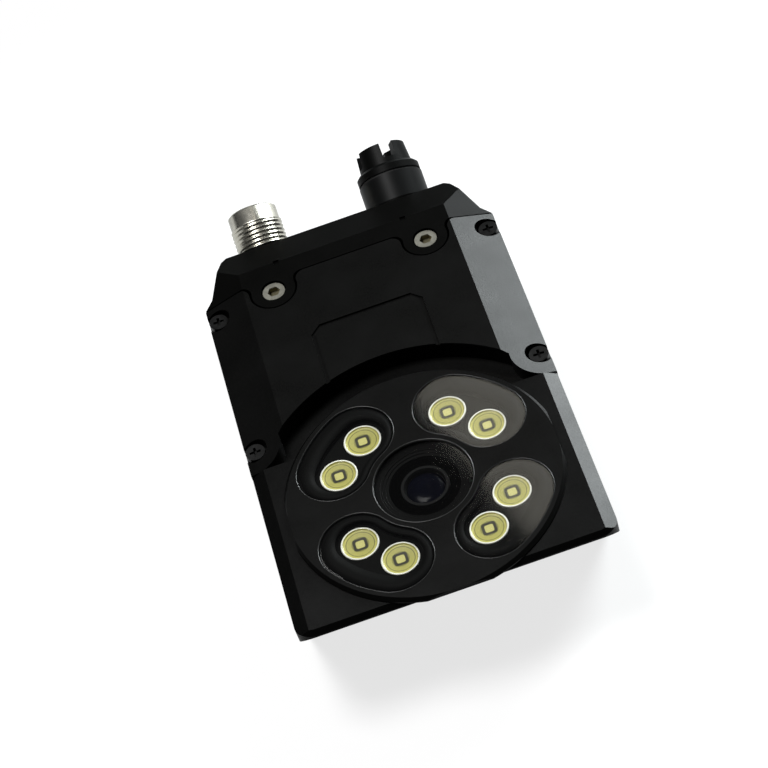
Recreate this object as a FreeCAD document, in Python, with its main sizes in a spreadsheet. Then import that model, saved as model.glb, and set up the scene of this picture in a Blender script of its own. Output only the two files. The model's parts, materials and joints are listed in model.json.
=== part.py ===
"""Compact smart camera for machine vision, built as a parametric document.

The camera lies on its back, lens up.  Every sub-part is drawn in one drawing
frame: x across the body, y from the lens towards the connectors, z along the
optical axis, with z = 0 on the front of the bezel.  At the end each sub-part's
Placement moves it so that the origin is the centre of the mounting holes on
the rear face.
"""
import FreeCAD, Part
import math
import os

import Sketcher

SIZES = (
    # housing
    ("body_depth", 27.0, "front of the bezel to the rear mounting face"),
    ("body_width", 66.6, "width of the housing"),
    ("lower_end", 26.6, "optical axis to the lower end of the housing"),
    ("undercut_start", 2.4, "front of the bezel down to the undercut of the lower end"),
    ("undercut_angle", 40.0, "slant of this undercut, from the optical axis"),
    ("undercut_wall", 2.0, "wall inside the undercut"),
    ("seam_height", 66.9, "optical axis to the seam of the connector block"),
    ("split_height", 17.2, "optical axis to the lower edge of the upper cover"),
    ("seat_level", 5.0, "front of the bezel down to the cover's seat"),
    ("housing_front", 1.0, "front of the bezel down to the housing's front"),
    ("floor_thickness", 3.0, "rear wall of the housing"),
    ("side_wall", 4.4, "side walls of the housing"),
    ("end_wall", 4.8, "end wall towards the connector block"),
    ("corner_radius", 4.0, "rounded lower corners of the housing"),
    ("front_bevel", 1.0, "bevel along the lower end of the housing's front"),
    ("side_bevel", 2.8, "wide bevels along the sides of the housing's front"),
    ("side_bevel_drop", 1.6, "drop of these bevels"),
    ("rear_bevel", 0.8, "bevel round the rear face"),
    ("well_play", 0.2, "holder and its board to the sides of their wells"),
    ("well_floor_play", 0.1, "holder and its board to the floors of their wells"),
    ("board_ledge", 1.2, "ledge between the two wells"),
    ("lens_well_width", 35.0, "deep well behind the lens, across"),
    ("lens_well_top", 18.6, "optical axis to the upper end of this well"),
    ("well_rim", 2.8, "width of the raised rim round the well"),
    # mounting holes
    ("mount_spacing_x", 50.0, "mounting holes across"),
    ("mount_drop", 6.9, "seam down to the upper mounting holes"),
    ("mount_rise", 24.6, "lower end of the housing to the lower mounting holes"),
    ("mount_hole_radius", 1.65, "tapping drill for the mounting screws"),
    ("mount_hole_depth", 6.0, "depth of the mounting holes"),
    ("mount_boss_radius", 4.2, "bosses behind the upper mounting holes"),
    ("mount_boss_height", 4.6, "height of these bosses over the floor"),
    # upper cover
    ("cover_proud", 0.1, "how far the cover stands out over the housing's sides"),
    ("cover_front", 0.8, "front of the bezel up to the cover's front"),
    ("cover_bevel_width", 9.4, "width of the cover's side bevels"),
    ("bevel_drop", 3.0, "drop of the side bevels"),
    ("cover_skin", 2.2, "thickness of the cover's front wall"),
    ("cover_rim", 3.4, "thickness of the cover's side walls"),
    ("arc_radius", 35.0, "arc of the cover's lower edge"),
    ("channel_floor", 1.2, "thickness of the channel's floor round the bezel"),
    ("channel_gap", 0.3, "channel floor to the housing's rim"),
    ("lobe_radius", 5.9, "lobes round the lower cover screws"),
    ("seam_gap", 0.5, "open seam between cover and connector block"),
    ("pocket_width", 25.2, "outline of the shallow label field"),
    ("pocket_drop", 17.6, "seam down to the upper edge of the label field"),
    ("pocket_depth", 0.4, "depth of the label field's outline"),
    ("pocket_line", 0.9, "width of the label field's outline"),
    ("pocket_corner", 2.3, "corner radius of the label field"),
    # cover screws
    ("screw_inset", 2.1, "side of the housing to the cover screws"),
    ("screw_rise", 6.0, "lower edge of the cover up to the lower screws"),
    ("screw_drop", 4.5, "seam down to the upper screws"),
    ("screw_head_radius", 2.1, "head of a cover screw"),
    ("screw_head_height", 1.6, "height of that head"),
    ("screw_shank_radius", 1.15, "shank of a cover screw"),
    ("screw_length", 8.0, "shank length of a cover screw"),
    ("screw_recess_width", 0.6, "wing of the cross recess"),
    ("screw_recess_span", 2.4, "span of the cross recess"),
    ("screw_recess_depth", 0.9, "depth of the cross recess"),
    ("counterbore_play", 0.7, "head of a cover screw to its counterbore"),
    ("counterbore_floor", 3.4, "front of the bezel down to the counterbore's floor"),
    ("hole_clearance", 0.15, "screw shank to its hole"),
    ("fit_gap", 0.05, "radial gap of pieces that sit tight in one another"),
    # connector block
    ("block_front", 0.6, "front of the bezel up to the block's front"),
    ("block_height", 14.1, "seam to the upper edge of the block's front"),
    ("slope_length", 9.3, "sloping part of the block's front"),
    ("slope_drop", 3.0, "drop of that slope at the end face"),
    ("outlet_angle", 30.0, "slant of the end face and of the connectors on it"),
    ("outlet_level", 9.3, "upper edge of the end face down to the connector axes"),
    ("heel_level", 19.0, "front of the bezel down to the upright heel of the block"),
    ("block_notch", 2.0, "first inward step of the block's outline"),
    ("block_taper", 6.2, "inward taper of the block's sides"),
    ("block_corner", 1.3, "cut corners of the block's end"),
    ("block_wall", 3.0, "walls of the block"),
    ("edge_notch_left", 15.2, "notch in the slope's edge, left of the centre line"),
    ("edge_notch_right", 14.4, "notch in the slope's edge, right of the centre line"),
    ("edge_notch_size", 1.3, "width of these notches"),
    ("edge_notch_depth", 0.6, "their depth"),
    ("ear_inset", 15.75, "side of the housing to the block screws"),
    ("ear_drop", 3.2, "seam down to the block screws"),
    ("ear_radius", 5.2, "seam radius round a block screw"),
    ("seam_blend", 2.2, "blend between ear and straight seam"),
    ("socket_head_radius", 2.5, "head of a block screw"),
    ("socket_head_height", 2.2, "height of that head"),
    ("socket_width", 2.5, "hexagon socket across flats"),
    ("socket_depth", 1.3, "depth of the hexagon socket"),
    ("socket_shank_radius", 1.45, "shank of a block screw"),
    ("socket_length", 10.0, "shank length of a block screw"),
    ("socket_sink", 0.4, "head below the block's front"),
    # bezel and light
    ("bezel_radius", 29.05, "outside of the bezel"),
    ("bezel_flat_depth", 0.8, "depth of the flats on its four sides"),
    ("bezel_chamfer", 0.7, "chamfer round the bezel"),
    ("lens_opening", 10.3, "round opening for the lens"),
    ("window_inner_rim", 1.4, "lens opening to a kidney window"),
    ("window_outer_rim", 1.75, "kidney window to the outside of the bezel"),
    ("window_half_angle", 13.7, "half the angle between its end centres"),
    ("window_gap", 0.15, "pane to its opening"),
    ("window_sink", 0.2, "pane below the bezel's front"),
    ("light_shift", 1.04, "centre line of the windows down to the light sources"),
    ("light_half_angle", 15.0, "half the angle between two neighbours"),
    ("light_margin", 0.75, "collimator to the edge of the recess round a pair"),
    ("light_recess_depth", 0.3, "depth of this recess"),
    ("holder_depth", 6.6, "front of the bezel to the back of the holder"),
    ("holder_wall", 1.44, "collimator pocket to the outside of the holder"),
    ("holder_setback", 5.0, "lower end of the housing to the flat of the holder"),
    ("collimator_radius", 4.0, "front face of a collimator"),
    ("collimator_foot", 1.9, "foot of a collimator"),
    ("collimator_gap", 0.1, "collimator to its pocket"),
    ("emitter_width", 3.2, "light emitting package"),
    ("emitter_height", 0.6, "its height"),
    ("light_board_thickness", 1.6, "printed board of the light"),
    ("light_board_setback", 6.4, "lower end of the housing to the flat of this board"),
    # lens
    ("glass_level", 0.5, "front of the bezel to the cover glass"),
    ("glass_thickness", 0.8, "cover glass"),
    ("glass_gap", 0.2, "cover glass to its opening"),
    ("glass_seat", 0.9, "width of the ledge under the cover glass"),
    ("hood_width", 1.8, "how far the hood narrows"),
    ("hood_drop", 1.0, "height of the hood's cone"),
    ("barrel_radius", 5.0, "front ring of the lens barrel"),
    ("barrel_front", 1.9, "front of the bezel to the barrel"),
    ("barrel_bore", 4.1, "bore of the barrel"),
    ("barrel_lip", 0.3, "bevel inside the barrel's front ring"),
    ("barrel_lip_depth", 0.6, "depth of this bevel"),
    ("barrel_back", 13.6, "front of the bezel to the back of the barrel"),
    ("barrel_ledge", 1.2, "thickness of the ledge under the rear lens"),
    ("barrel_ledge_width", 1.0, "how far this ledge reaches inwards"),
    ("front_lens_sink", 0.4, "barrel's front down to the crown of the front lens"),
    ("front_lens_height", 2.6, "thickness of the front lens"),
    ("front_lens_sag", 0.9, "crown down to the edge of its curved face"),
    ("rear_lens_height", 2.0, "thickness of the rear lens"),
    ("mount_ring_radius", 7.0, "holder of the lens barrel"),
    ("mount_ring_front", 8.8, "front of the bezel to the lens holder"),
    ("sensor_board_level", 16.6, "front of the bezel to the image sensor board"),
    ("board_thickness", 1.6, "printed boards"),
    ("sensor_width", 6.6, "package of the image sensor"),
    ("sensor_height", 1.4, "its height"),
    ("pillar_radius", 1.6, "pillars under the image sensor board"),
    ("pillar_inset", 0.4, "edge of the board or wall to a pillar"),
    # boards
    ("board_level", 15.0, "front of the bezel to the main board"),
    ("board_low", 27.4, "lower edge of the main board"),
    ("board_gap", 3.3, "end wall down to the main board"),
    ("board_play", 2.9, "side walls to the main board"),
    ("board_inset", 3.0, "edge of the main board to the middle of a post"),
    ("post_radius", 2.1, "cast posts under the main board"),
    ("processor_width", 12.8, "package of the processor"),
    ("processor_height", 1.5, "its height"),
    ("processor_shift", 4.0, "middle of the board down to the processor"),
    ("pad_height", 1.0, "thickness of the heat pad"),
    ("pedestal_width", 16.0, "cast block that takes the processor's heat"),
    # connectors
    ("power_inset", 15.9, "side of the housing to the power connector"),
    ("thread_radius", 6.0, "M12 thread of the power connector"),
    ("thread_length", 10.3, "tip of the shell over the boss"),
    ("thread_relief", 0.4, "plain groove between the boss and the thread"),
    ("shell_root_step", 0.3, "thread down to the shell's root"),
    ("shell_bore", 4.5, "inside of the threaded shell"),
    ("shell_floor", 5.2, "tip of the shell down to the insert's face"),
    ("boss_rim", 0.65, "collar to the outside of a cast boss"),
    ("boss_height", 0.8, "its height over the end face"),
    ("shell_chamfer", 0.5, "chamfer at the shell's tip"),
    ("insert_tail", 2.0, "how far the inserts reach behind the shells"),
    ("pin_radius", 0.4, "pins and contacts"),
    ("pin_setback", 1.2, "tip of the shell down to the tips of the pins"),
    ("outer_pin_circle", 2.75, "circle of the nine outer pins"),
    ("inner_pin_circle", 1.1, "circle of the three inner pins"),
    ("network_inset", 18.25, "side of the housing to the network connector"),
    ("collar_radius", 7.45, "collar of the network connector"),
    ("collar_length", 7.1, "collar over the end face"),
    ("collar_bore", 6.0, "threaded bore of the collar"),
    ("network_insert_play", 0.4, "insert of the network connector to the cap's plug"),
    ("network_insert_sink", 2.6, "end of the collar down to the insert's face"),
    ("network_flange_height", 3.0, "flange that holds the insert"),
    ("contact_circle", 2.9, "circle of the eight contacts"),
    ("contact_spread", 16.0, "half the angle between the contacts of a pair"),
    ("contact_depth", 3.5, "depth of a contact's hole"),
    ("contact_length", 3.2, "length of a contact"),
    # dust cap
    ("cap_play", 0.3, "threaded plug of the dust cap to the collar's bore"),
    ("cap_plug_length", 4.6, "length of the plug"),
    ("cap_plug_wall", 1.0, "wall of the plug"),
    ("cap_gap", 0.6, "groove between collar and flange"),
    ("cap_flange_step", 0.1, "collar's outside in to the flange of the dust cap"),
    ("cap_flange_height", 2.1, "its height"),
    ("cap_flange_bevel", 0.6, "bevel of the flange towards the crown"),
    ("cap_shoulder", 1.25, "flange in to the castellated crown"),
    ("cap_crown_height", 5.0, "its height"),
    ("cap_crown_taper", 0.4, "how much the crown narrows upwards"),
    ("cap_crown_bore", 3.0, "hollow of the crown"),
    ("cap_slot_width", 3.0, "slots of the crown"),
    ("cap_slot_depth", 3.6, "depth of the slots"),
    ("cap_turn", 15.7, "where the cap came to rest when screwed down"),
    ("seal_inset", 0.55, "collar's bore out to the middle of the cap's seal ring"),
    ("seal_section", 0.5, "half the width of the seal ring"),
)

doc = FreeCAD.newDocument("machine_vision_camera")
sheet = doc.addObject("Spreadsheet::Sheet", "Sizes")


class Term:
    """A number that comes from the sheet, with the expression that gives it."""

    def __init__(self, value, text):
        self.value = float(value)
        self.text = text

    def __add__(self, other):
        other = as_term(other)
        return Term(self.value + other.value, "({} + {})".format(self.text, other.text))

    def __radd__(self, other):
        return as_term(other) + self

    def __sub__(self, other):
        other = as_term(other)
        return Term(self.value - other.value, "({} - {})".format(self.text, other.text))

    def __rsub__(self, other):
        return as_term(other) - self

    def __mul__(self, other):
        other = as_term(other)
        return Term(self.value * other.value, "({} * {})".format(self.text, other.text))

    def __rmul__(self, other):
        return as_term(other) * self

    def __truediv__(self, other):
        other = as_term(other)
        return Term(self.value / other.value, "({} / {})".format(self.text, other.text))

    def __neg__(self):
        return Term(-self.value, "(0 - {})".format(self.text))


def as_term(number):
    """A Term as it is, or a plain number as a Term."""
    if isinstance(number, Term):
        return number
    return Term(number, "({})".format(repr(float(number))))


def cosine(angle):
    angle = as_term(angle)
    return Term(math.cos(math.radians(angle.value)), "cos({} * 1 deg)".format(angle.text))


def sine(angle):
    angle = as_term(angle)
    return Term(math.sin(math.radians(angle.value)), "sin({} * 1 deg)".format(angle.text))


def tangent(angle):
    return sine(angle) / cosine(angle)


class Sizes:
    """Gives each alias of the sheet as a Term."""

    def __getattr__(self, alias):
        return Term(sheet.get(alias), "Sizes." + alias)


def fill_sheet():
    for row, (alias, value, meaning) in enumerate(SIZES, start=1):
        sheet.set("A{}".format(row), meaning)
        sheet.set("B{}".format(row), repr(value))
        sheet.setAlias("B{}".format(row), alias)
    doc.recompute()


fill_sheet()
S = Sizes()
ZERO = as_term(0)
NODES = []


def node(name, shape, seat_here=FreeCAD.Placement()):
    """Registers a finished object as the sub-part of this name, with its seat."""
    shape.Label = name
    NODES.append((shape, seat_here))
    return shape


def bind(thing, prop, term):
    thing.setExpression(prop, as_term(term).text)


def place(thing, x=0, y=0, z=0):
    for axis, term in (("x", x), ("y", y), ("z", z)):
        bind(thing, "Placement.Base." + axis, term)


# ---------------------------------------------------------------- Part helpers

def box(name, x, y, z):
    """A block from three (low, high) pairs."""
    solid = doc.addObject("Part::Box", name)
    bind(solid, "Length", x[1] - x[0])
    bind(solid, "Width", y[1] - y[0])
    bind(solid, "Height", z[1] - z[0])
    place(solid, x[0], y[0], z[0])
    return solid


def centred(middle, width):
    """The (low, high) pair of this width about a middle."""
    return (middle - width / 2, middle + width / 2)


def cylinder(name, radius, foot, height):
    solid = doc.addObject("Part::Cylinder", name)
    bind(solid, "Radius", radius)
    bind(solid, "Height", height)
    place(solid, *foot)
    return solid


def stick(name, radius, foot, height):
    """A small round piece with eight faces."""
    solid = doc.addObject("Part::Prism", name)
    solid.Polygon = 8
    bind(solid, "Circumradius", radius)
    bind(solid, "Height", height)
    place(solid, *foot)
    return solid


def tube(name, outer, inner, foot, height):
    """A ring; its bore is cut a little longer than the ring."""
    rim = cylinder(name + "_rim", outer, foot, height)
    x, y, z = foot
    bore = cylinder(name + "_bore", inner, (x, y, z - 1), height + 2)
    return cut(name, rim, [bore])


OPTIC_SIDES = 16


def frustum(name, low_radius, high_radius, foot, height):
    """A tapered piece with flat sides, lofted between two regular polygons."""
    ends = []
    for word, radius, rise in (("foot", low_radius, 0), ("top", high_radius, height)):
        outline = doc.addObject("Part::RegularPolygon", name + "_" + word)
        outline.Polygon = OPTIC_SIDES
        bind(outline, "Circumradius", radius)
        place(outline, foot[0], foot[1], foot[2] + rise)
        ends.append(outline)
    loft = doc.addObject("Part::Loft", name)
    loft.Sections = ends
    loft.Solid = True
    loft.Ruled = True
    return loft


def group(name, pieces):
    compound = doc.addObject("Part::Compound", name)
    compound.Links = pieces
    return compound


def fuse(name, pieces):
    joined = doc.addObject("Part::MultiFuse", name)
    joined.Shapes = pieces
    return joined


def cut(name, base, tools):
    result = doc.addObject("Part::Cut", name)
    result.Base = base
    result.Tool = tools[0] if len(tools) == 1 else fuse(name + "_tools", tools)
    return result


# ---------------------------------------------------------- PartDesign helpers

def new_body(name):
    return doc.addObject("PartDesign::Body", name)


def origin_plane(body, role):
    return [feature for feature in body.Origin.OriginFeatures if feature.Role == role][0]


def new_sketch(body, name, plane, level):
    """A sketch on an origin plane, moved along the plane's normal to a level."""
    sketch = body.newObject("Sketcher::SketchObject", name)
    sketch.AttachmentSupport = [(origin_plane(body, plane), "")]
    sketch.MapMode = "FlatFace"
    bind(sketch, "AttachmentOffset.Base.z", level)
    return sketch


def pin_point(sketch, geometry, corner, name, x, y):
    """Holds one point of the sketch at x, y with two named dimensions."""
    for kind, axis, term in (("DistanceX", "x", as_term(x)), ("DistanceY", "y", as_term(y))):
        if term.text == ZERO.text:
            line = -2 if axis == "x" else -1
            sketch.addConstraint(Sketcher.Constraint("PointOnObject", geometry, corner, line))
            continue
        index = sketch.addConstraint(
            Sketcher.Constraint(kind, -1, 1, geometry, corner, term.value))
        sketch.renameConstraint(index, axis + name)
        bind(sketch, "Constraints." + axis + name, term)


def draw_polygon(sketch, points):
    """A closed polygon whose corners are pairs of Terms."""
    first = sketch.GeometryCount
    spots = [FreeCAD.Vector(as_term(x).value, as_term(y).value, 0) for x, y in points]
    count = len(points)
    for i in range(count):
        sketch.addGeometry(Part.LineSegment(spots[i], spots[(i + 1) % count]), False)
    for i in range(count):
        following = first + (i + 1) % count
        sketch.addConstraint(Sketcher.Constraint("Coincident", first + i, 2, following, 1))
    for i, (x, y) in enumerate(points):
        pin_point(sketch, first + i, 1, "_corner{}".format(first + i), x, y)


def draw_circle(sketch, x, y, radius):
    x, y, radius = as_term(x), as_term(y), as_term(radius)
    centre = FreeCAD.Vector(x.value, y.value, 0)
    index = sketch.addGeometry(Part.Circle(centre, FreeCAD.Vector(0, 0, 1), radius.value), False)
    pin_point(sketch, index, 3, "_centre{}".format(index), x, y)
    dimension = sketch.addConstraint(Sketcher.Constraint("Radius", index, radius.value))
    sketch.renameConstraint(dimension, "radius{}".format(index))
    bind(sketch, "Constraints.radius{}".format(index), radius)


def draw_facetted(sketch, x, y, radius, sides=12):
    """A hidden hole or post, round enough as a regular polygon."""
    turns = [as_term(360 * step / sides) for step in range(sides)]
    draw_polygon(sketch, tuple(
        (x + radius * cosine(turn), y + radius * sine(turn)) for turn in turns))


def draw_kidney(sketch, circle, radius, half_angle, middle):
    """A kidney: all points within a radius of an arc about the origin."""
    angles = (middle - half_angle, middle + half_angle)
    rims = (circle + radius, circle - radius)
    corner = {}
    for side, angle in enumerate(angles):
        for level, rim in enumerate(rims):
            corner[side, level] = (rim * cosine(angle), rim * sine(angle))

    def spot(key):
        return FreeCAD.Vector(corner[key][0].value, corner[key][1].value, 0)

    def through(rim, angle):
        turn = math.radians(angle)
        return FreeCAD.Vector(rim * math.cos(turn), rim * math.sin(turn), 0)

    def end_crown(angle, outward):
        turn = math.radians(angle)
        centre = through(circle.value, angle)
        tangent = FreeCAD.Vector(-math.sin(turn), math.cos(turn), 0)
        return centre + tangent * outward * radius.value

    arcs = (
        Part.Arc(spot((0, 0)), through(rims[0].value, middle.value), spot((1, 0))),
        Part.Arc(spot((1, 0)), end_crown(angles[1].value, 1), spot((1, 1))),
        Part.Arc(spot((1, 1)), through(rims[1].value, middle.value), spot((0, 1))),
        Part.Arc(spot((0, 1)), end_crown(angles[0].value, -1), spot((0, 0))),
    )
    # an arc drawn clockwise runs the other way in the sketch: its ends swap
    starts = ((0, 0), (1, 0), (0, 1), (0, 1))
    ends = ((1, 0), (1, 1), (1, 1), (0, 0))
    first = sketch.GeometryCount
    for arc in arcs:
        sketch.addGeometry(arc, False)
    touched = {}
    for i in range(len(arcs)):
        for point, key in ((1, starts[i]), (2, ends[i])):
            if key in touched:
                other, other_point = touched[key]
                sketch.addConstraint(
                    Sketcher.Constraint("Coincident", first + i, point, other, other_point))
            else:
                touched[key] = (first + i, point)
                pin_point(sketch, first + i, point, "_kidney{}_{}".format(first + i, point),
                          *corner[key])
    # the long arcs are held by their radius, the half circles by their centre
    for i, rim in ((0, rims[0]), (2, rims[1])):
        index = sketch.addConstraint(Sketcher.Constraint("Radius", first + i, rim.value))
        sketch.renameConstraint(index, "bend{}".format(first + i))
        bind(sketch, "Constraints.bend{}".format(first + i), rim)
    for i, angle in ((1, angles[1]), (3, angles[0])):
        across = circle * cosine(angle)
        index = sketch.addConstraint(
            Sketcher.Constraint("DistanceX", -1, 1, first + i, 3, across.value))
        sketch.renameConstraint(index, "middle{}".format(first + i))
        bind(sketch, "Constraints.middle{}".format(first + i), across)


def pad(body, name, sketch, length):
    feature = body.newObject("PartDesign::Pad", name)
    feature.Profile = sketch
    bind(feature, "Length", length)
    return feature


def pocket(body, name, sketch, length):
    feature = body.newObject("PartDesign::Pocket", name)
    feature.Profile = sketch
    bind(feature, "Length", length)
    return feature


def revolve(body, name, sketch, axis, groove=False):
    kind = "PartDesign::Groove" if groove else "PartDesign::Revolution"
    feature = body.newObject(kind, name)
    feature.Profile = sketch
    feature.ReferenceAxis = (sketch, [axis])
    feature.Angle = 360
    return feature


def prism(body, name, plane, draw, low, high, remove=False):
    """Pads (or pockets) what draw() draws on a plane, between two levels.

    Levels run along +x, +y or +z.  The XZ plane's normal is -y.
    """
    low, high = as_term(low), as_term(high)
    backwards = plane == "XZ_Plane"
    if remove:
        start = -low if backwards else high
    else:
        start = -high if backwards else low
    sketch = new_sketch(body, name + "_sketch", plane, start)
    draw(sketch)
    maker = pocket if remove else pad
    return maker(body, name, sketch, high - low)


def polar(body, name, originals, count):
    pattern = body.newObject("PartDesign::PolarPattern", name)
    pattern.Originals = originals
    axis = [f for f in body.Origin.OriginFeatures if f.Role == "Z_Axis"][0]
    pattern.Axis = (axis, [""])
    pattern.Angle = 360
    pattern.Occurrences = count
    body.Tip = pattern
    return pattern


def edges_where(feature, test):
    """Names of the edges of a feature whose mid point and direction pass."""
    found = []
    for index, edge in enumerate(feature.Shape.Edges, start=1):
        middle = edge.valueAt((edge.FirstParameter + edge.LastParameter) / 2)
        if test(edge, middle):
            found.append("Edge{}".format(index))
    return found


def upright(edge):
    """True for a straight edge along z."""
    if len(edge.Vertexes) < 2 or edge.Curve.TypeId != "Part::GeomLine":
        return False
    way = edge.Vertexes[1].Point - edge.Vertexes[0].Point
    return abs(way.z) > 0.99 * way.Length


def round_edges(body, name, base, edges, radius):
    feature = body.newObject("PartDesign::Fillet", name)
    feature.Base = (base, edges)
    bind(feature, "Radius", radius)
    return feature


def bevel_edges(body, name, base, edges, size):
    feature = body.newObject("PartDesign::Chamfer", name)
    feature.Base = (base, edges)
    bind(feature, "Size", size)
    return feature


# -------------------------------------------------------------------- levels

rear = -S.body_depth
floor = rear + S.floor_thickness
seat = -S.seat_level
housing_face = -S.housing_front
half_body = S.body_width / 2
half_cover = half_body + S.cover_proud
seam = S.seam_height
screw_x = half_body - S.screw_inset
screw_low = S.split_height + S.screw_rise
screw_high = seam - S.screw_drop
counterbore_radius = S.screw_head_radius + S.counterbore_play
ear_x = half_body - S.ear_inset
ear_y = seam - S.ear_drop
pocket_top = seam - S.pocket_drop
block_end = seam + S.block_height
block_edge = block_end - S.slope_length
mount_low = -S.lower_end + S.mount_rise
mount_high = seam - S.mount_drop
mount_centre = (mount_low + mount_high) / 2
board_high = seam - S.end_wall - S.board_gap
board_width = (half_body - S.side_wall - S.board_play) * 2

# the bezel's ring holds the windows, and these the light and its wells
window_radius = (S.bezel_radius - S.lens_opening - S.window_inner_rim - S.window_outer_rim) / 2
window_circle = S.lens_opening + S.window_inner_rim + window_radius
bezel_flat = S.bezel_radius - S.bezel_flat_depth
light_circle = window_circle - S.light_shift
light_recess_radius = S.collimator_radius + S.light_margin
holder_radius = light_circle + S.collimator_radius + S.collimator_gap + S.holder_wall
holder_flat = S.lower_end - S.holder_setback
well_radius = holder_radius + S.well_play
well_depth = S.holder_depth + S.well_floor_play
well_rim_radius = well_radius + S.well_rim
board_well_radius = well_radius - S.board_ledge
board_well_depth = well_depth + S.light_board_thickness + S.well_floor_play
light_board_radius = board_well_radius - S.well_play
light_board_flat = S.lower_end - S.light_board_setback
glass_radius = S.lens_opening - S.glass_gap
glass_ledge = glass_radius - S.glass_seat
hood_throat = glass_ledge - S.hood_width

# connectors and cap
power_x = -half_body + S.power_inset
network_x = half_body - S.network_inset
boss_radius = S.collar_radius + S.boss_rim
shell_root_radius = S.thread_radius - S.shell_root_step
cap_plug_radius = S.collar_bore - S.cap_play
cap_plug_bore = cap_plug_radius - S.cap_plug_wall
network_insert_radius = cap_plug_bore - S.network_insert_play
cap_flange_radius = S.collar_radius - S.cap_flange_step
cap_crown_radius = cap_flange_radius - S.cap_shoulder
seal_radius = S.collar_bore + S.seal_inset
SIDES = (-1, 1)
near = 0.01


def rectangle(x, y):
    """Corners of a rectangle from two (low, high) pairs."""
    return ((x[0], y[0]), (x[1], y[0]), (x[1], y[1]), (x[0], y[1]))


# ------------------------------------------------------------------- housing

def build_housing():
    """Die-cast tray: lower front, well for the light, open upper bay."""
    body = new_body("housing")

    def plan(sketch, high):
        draw_polygon(sketch, rectangle((-half_body, half_body), (-S.lower_end, high)))

    prism(body, "tray", "XY_Plane", lambda sketch: plan(sketch, seam), rear, seat)
    plain = prism(body, "lower_front", "XY_Plane",
                  lambda sketch: plan(sketch, S.split_height), seat, housing_face)
    doc.recompute()
    corners = edges_where(plain, lambda edge, middle: upright(edge)
                          and middle.y < -S.lower_end.value + near)
    rounded = round_edges(body, "lower_corners", plain, corners, S.corner_radius)
    doc.recompute()
    front = edges_where(rounded, lambda edge, middle: abs(middle.z - housing_face.value) < near
                        and middle.y < S.split_height.value - near)
    bevel_edges(body, "front_bevels", rounded, front, S.front_bevel)

    def outside_bevel(sketch, side):
        inner = side * (half_body - S.side_bevel)
        edge = side * half_body
        outside = side * (half_body + 1)
        draw_polygon(sketch, (
            (inner, housing_face), (edge, housing_face - S.side_bevel_drop),
            (outside, housing_face - S.side_bevel_drop), (outside, ZERO), (inner, ZERO)))

    for side, word in ((-1, "left"), (1, "right")):
        prism(body, word + "_bevel", "XZ_Plane",
              lambda sketch, side=side: outside_bevel(sketch, side),
              -S.lower_end - 1, S.split_height + 1, remove=True)
    prism(body, "well_rim", "XY_Plane",
          lambda sketch: draw_circle(sketch, 0, 0, well_rim_radius), seat, housing_face)
    for name, radius, depth in (("well", well_radius, well_depth),
                                ("board_well", board_well_radius, board_well_depth)):
        prism(body, name, "XY_Plane",
              lambda sketch, radius=radius: draw_circle(sketch, 0, 0, radius),
              -depth, housing_face, remove=True)

    # the wells are flat towards the undercut, like the pieces in them
    for name, flat, low, high in (
            ("well_flat", holder_flat + S.well_play, -well_depth, housing_face),
            ("board_flat", light_board_flat + S.well_play, -board_well_depth, -well_depth)):
        prism(body, name, "XY_Plane",
              lambda sketch, flat=flat: draw_polygon(sketch, rectangle(
                  centred(ZERO, well_radius), (-well_radius - 1, -flat))), low, high)

    def below_undercut(sketch):
        low = rear - 1
        draw_polygon(sketch, (
            (-S.lower_end, -S.undercut_start), (undercut_edge(low), low),
            (-S.lower_end - 1, low), (-S.lower_end - 1, -S.undercut_start)))

    slanted = prism(body, "undercut", "YZ_Plane", below_undercut, -half_cover, half_cover,
                    remove=True)
    doc.recompute()
    back = edges_where(slanted, lambda edge, middle: abs(middle.z - rear.value) < near
                       and middle.y < seam.value - near)
    bevel_edges(body, "rear_bevels", slanted, back, S.rear_bevel)

    def lens_well(sketch):
        top = -board_well_depth + near
        draw_polygon(sketch, (
            (undercut_edge(top) + S.undercut_wall, top), (S.lens_well_top, top),
            (S.lens_well_top, floor), (undercut_edge(floor) + S.undercut_wall, floor)))

    prism(body, "lens_well", "YZ_Plane", lens_well, -S.lens_well_width / 2,
          S.lens_well_width / 2, remove=True)
    bay_half = half_body - S.side_wall
    bay_low = S.split_height + S.front_bevel
    prism(body, "bay", "XY_Plane",
          lambda sketch: draw_polygon(
              sketch, rectangle((-bay_half, bay_half), (bay_low, seam - S.end_wall))),
          floor, seat, remove=True)

    def ears(sketch):
        for side in SIDES:
            draw_circle(sketch, side * ear_x, ear_y, S.ear_radius - S.side_wall / 4)

    # screw bosses of the connector block, trimmed level with the end wall
    prism(body, "ear_bosses", "XY_Plane", ears, floor, seat)
    prism(body, "ear_trim", "XY_Plane",
          lambda sketch: draw_polygon(sketch, rectangle(
              (-half_body, half_body), (seam, seam + S.ear_radius))),
          rear - 1, seat + 1, remove=True)

    def upper_bosses(sketch):
        for side in SIDES:
            draw_facetted(sketch, side * S.mount_spacing_x / 2, mount_high,
                          S.mount_boss_radius)

    prism(body, "mount_bosses", "XY_Plane", upper_bosses, floor, floor + S.mount_boss_height)
    board_foot = -S.board_level - S.board_thickness

    def posts(sketch):
        for side in SIDES:
            for y in (S.board_low + S.board_inset, board_high - S.board_inset):
                draw_facetted(sketch, side * (board_width / 2 - S.board_inset), y,
                              S.post_radius)

    prism(body, "board_posts", "XY_Plane", posts, floor, board_foot)
    prism(body, "heat_pedestal", "XY_Plane",
          lambda sketch: draw_polygon(sketch, rectangle(
              centred(ZERO, S.pedestal_width), centred(processor_y(), S.pedestal_width))),
          floor, pedestal_top())

    def mount_holes(sketch):
        for side in SIDES:
            for y in (mount_low, mount_high):
                draw_circle(sketch, side * S.mount_spacing_x / 2, y, S.mount_hole_radius)

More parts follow.
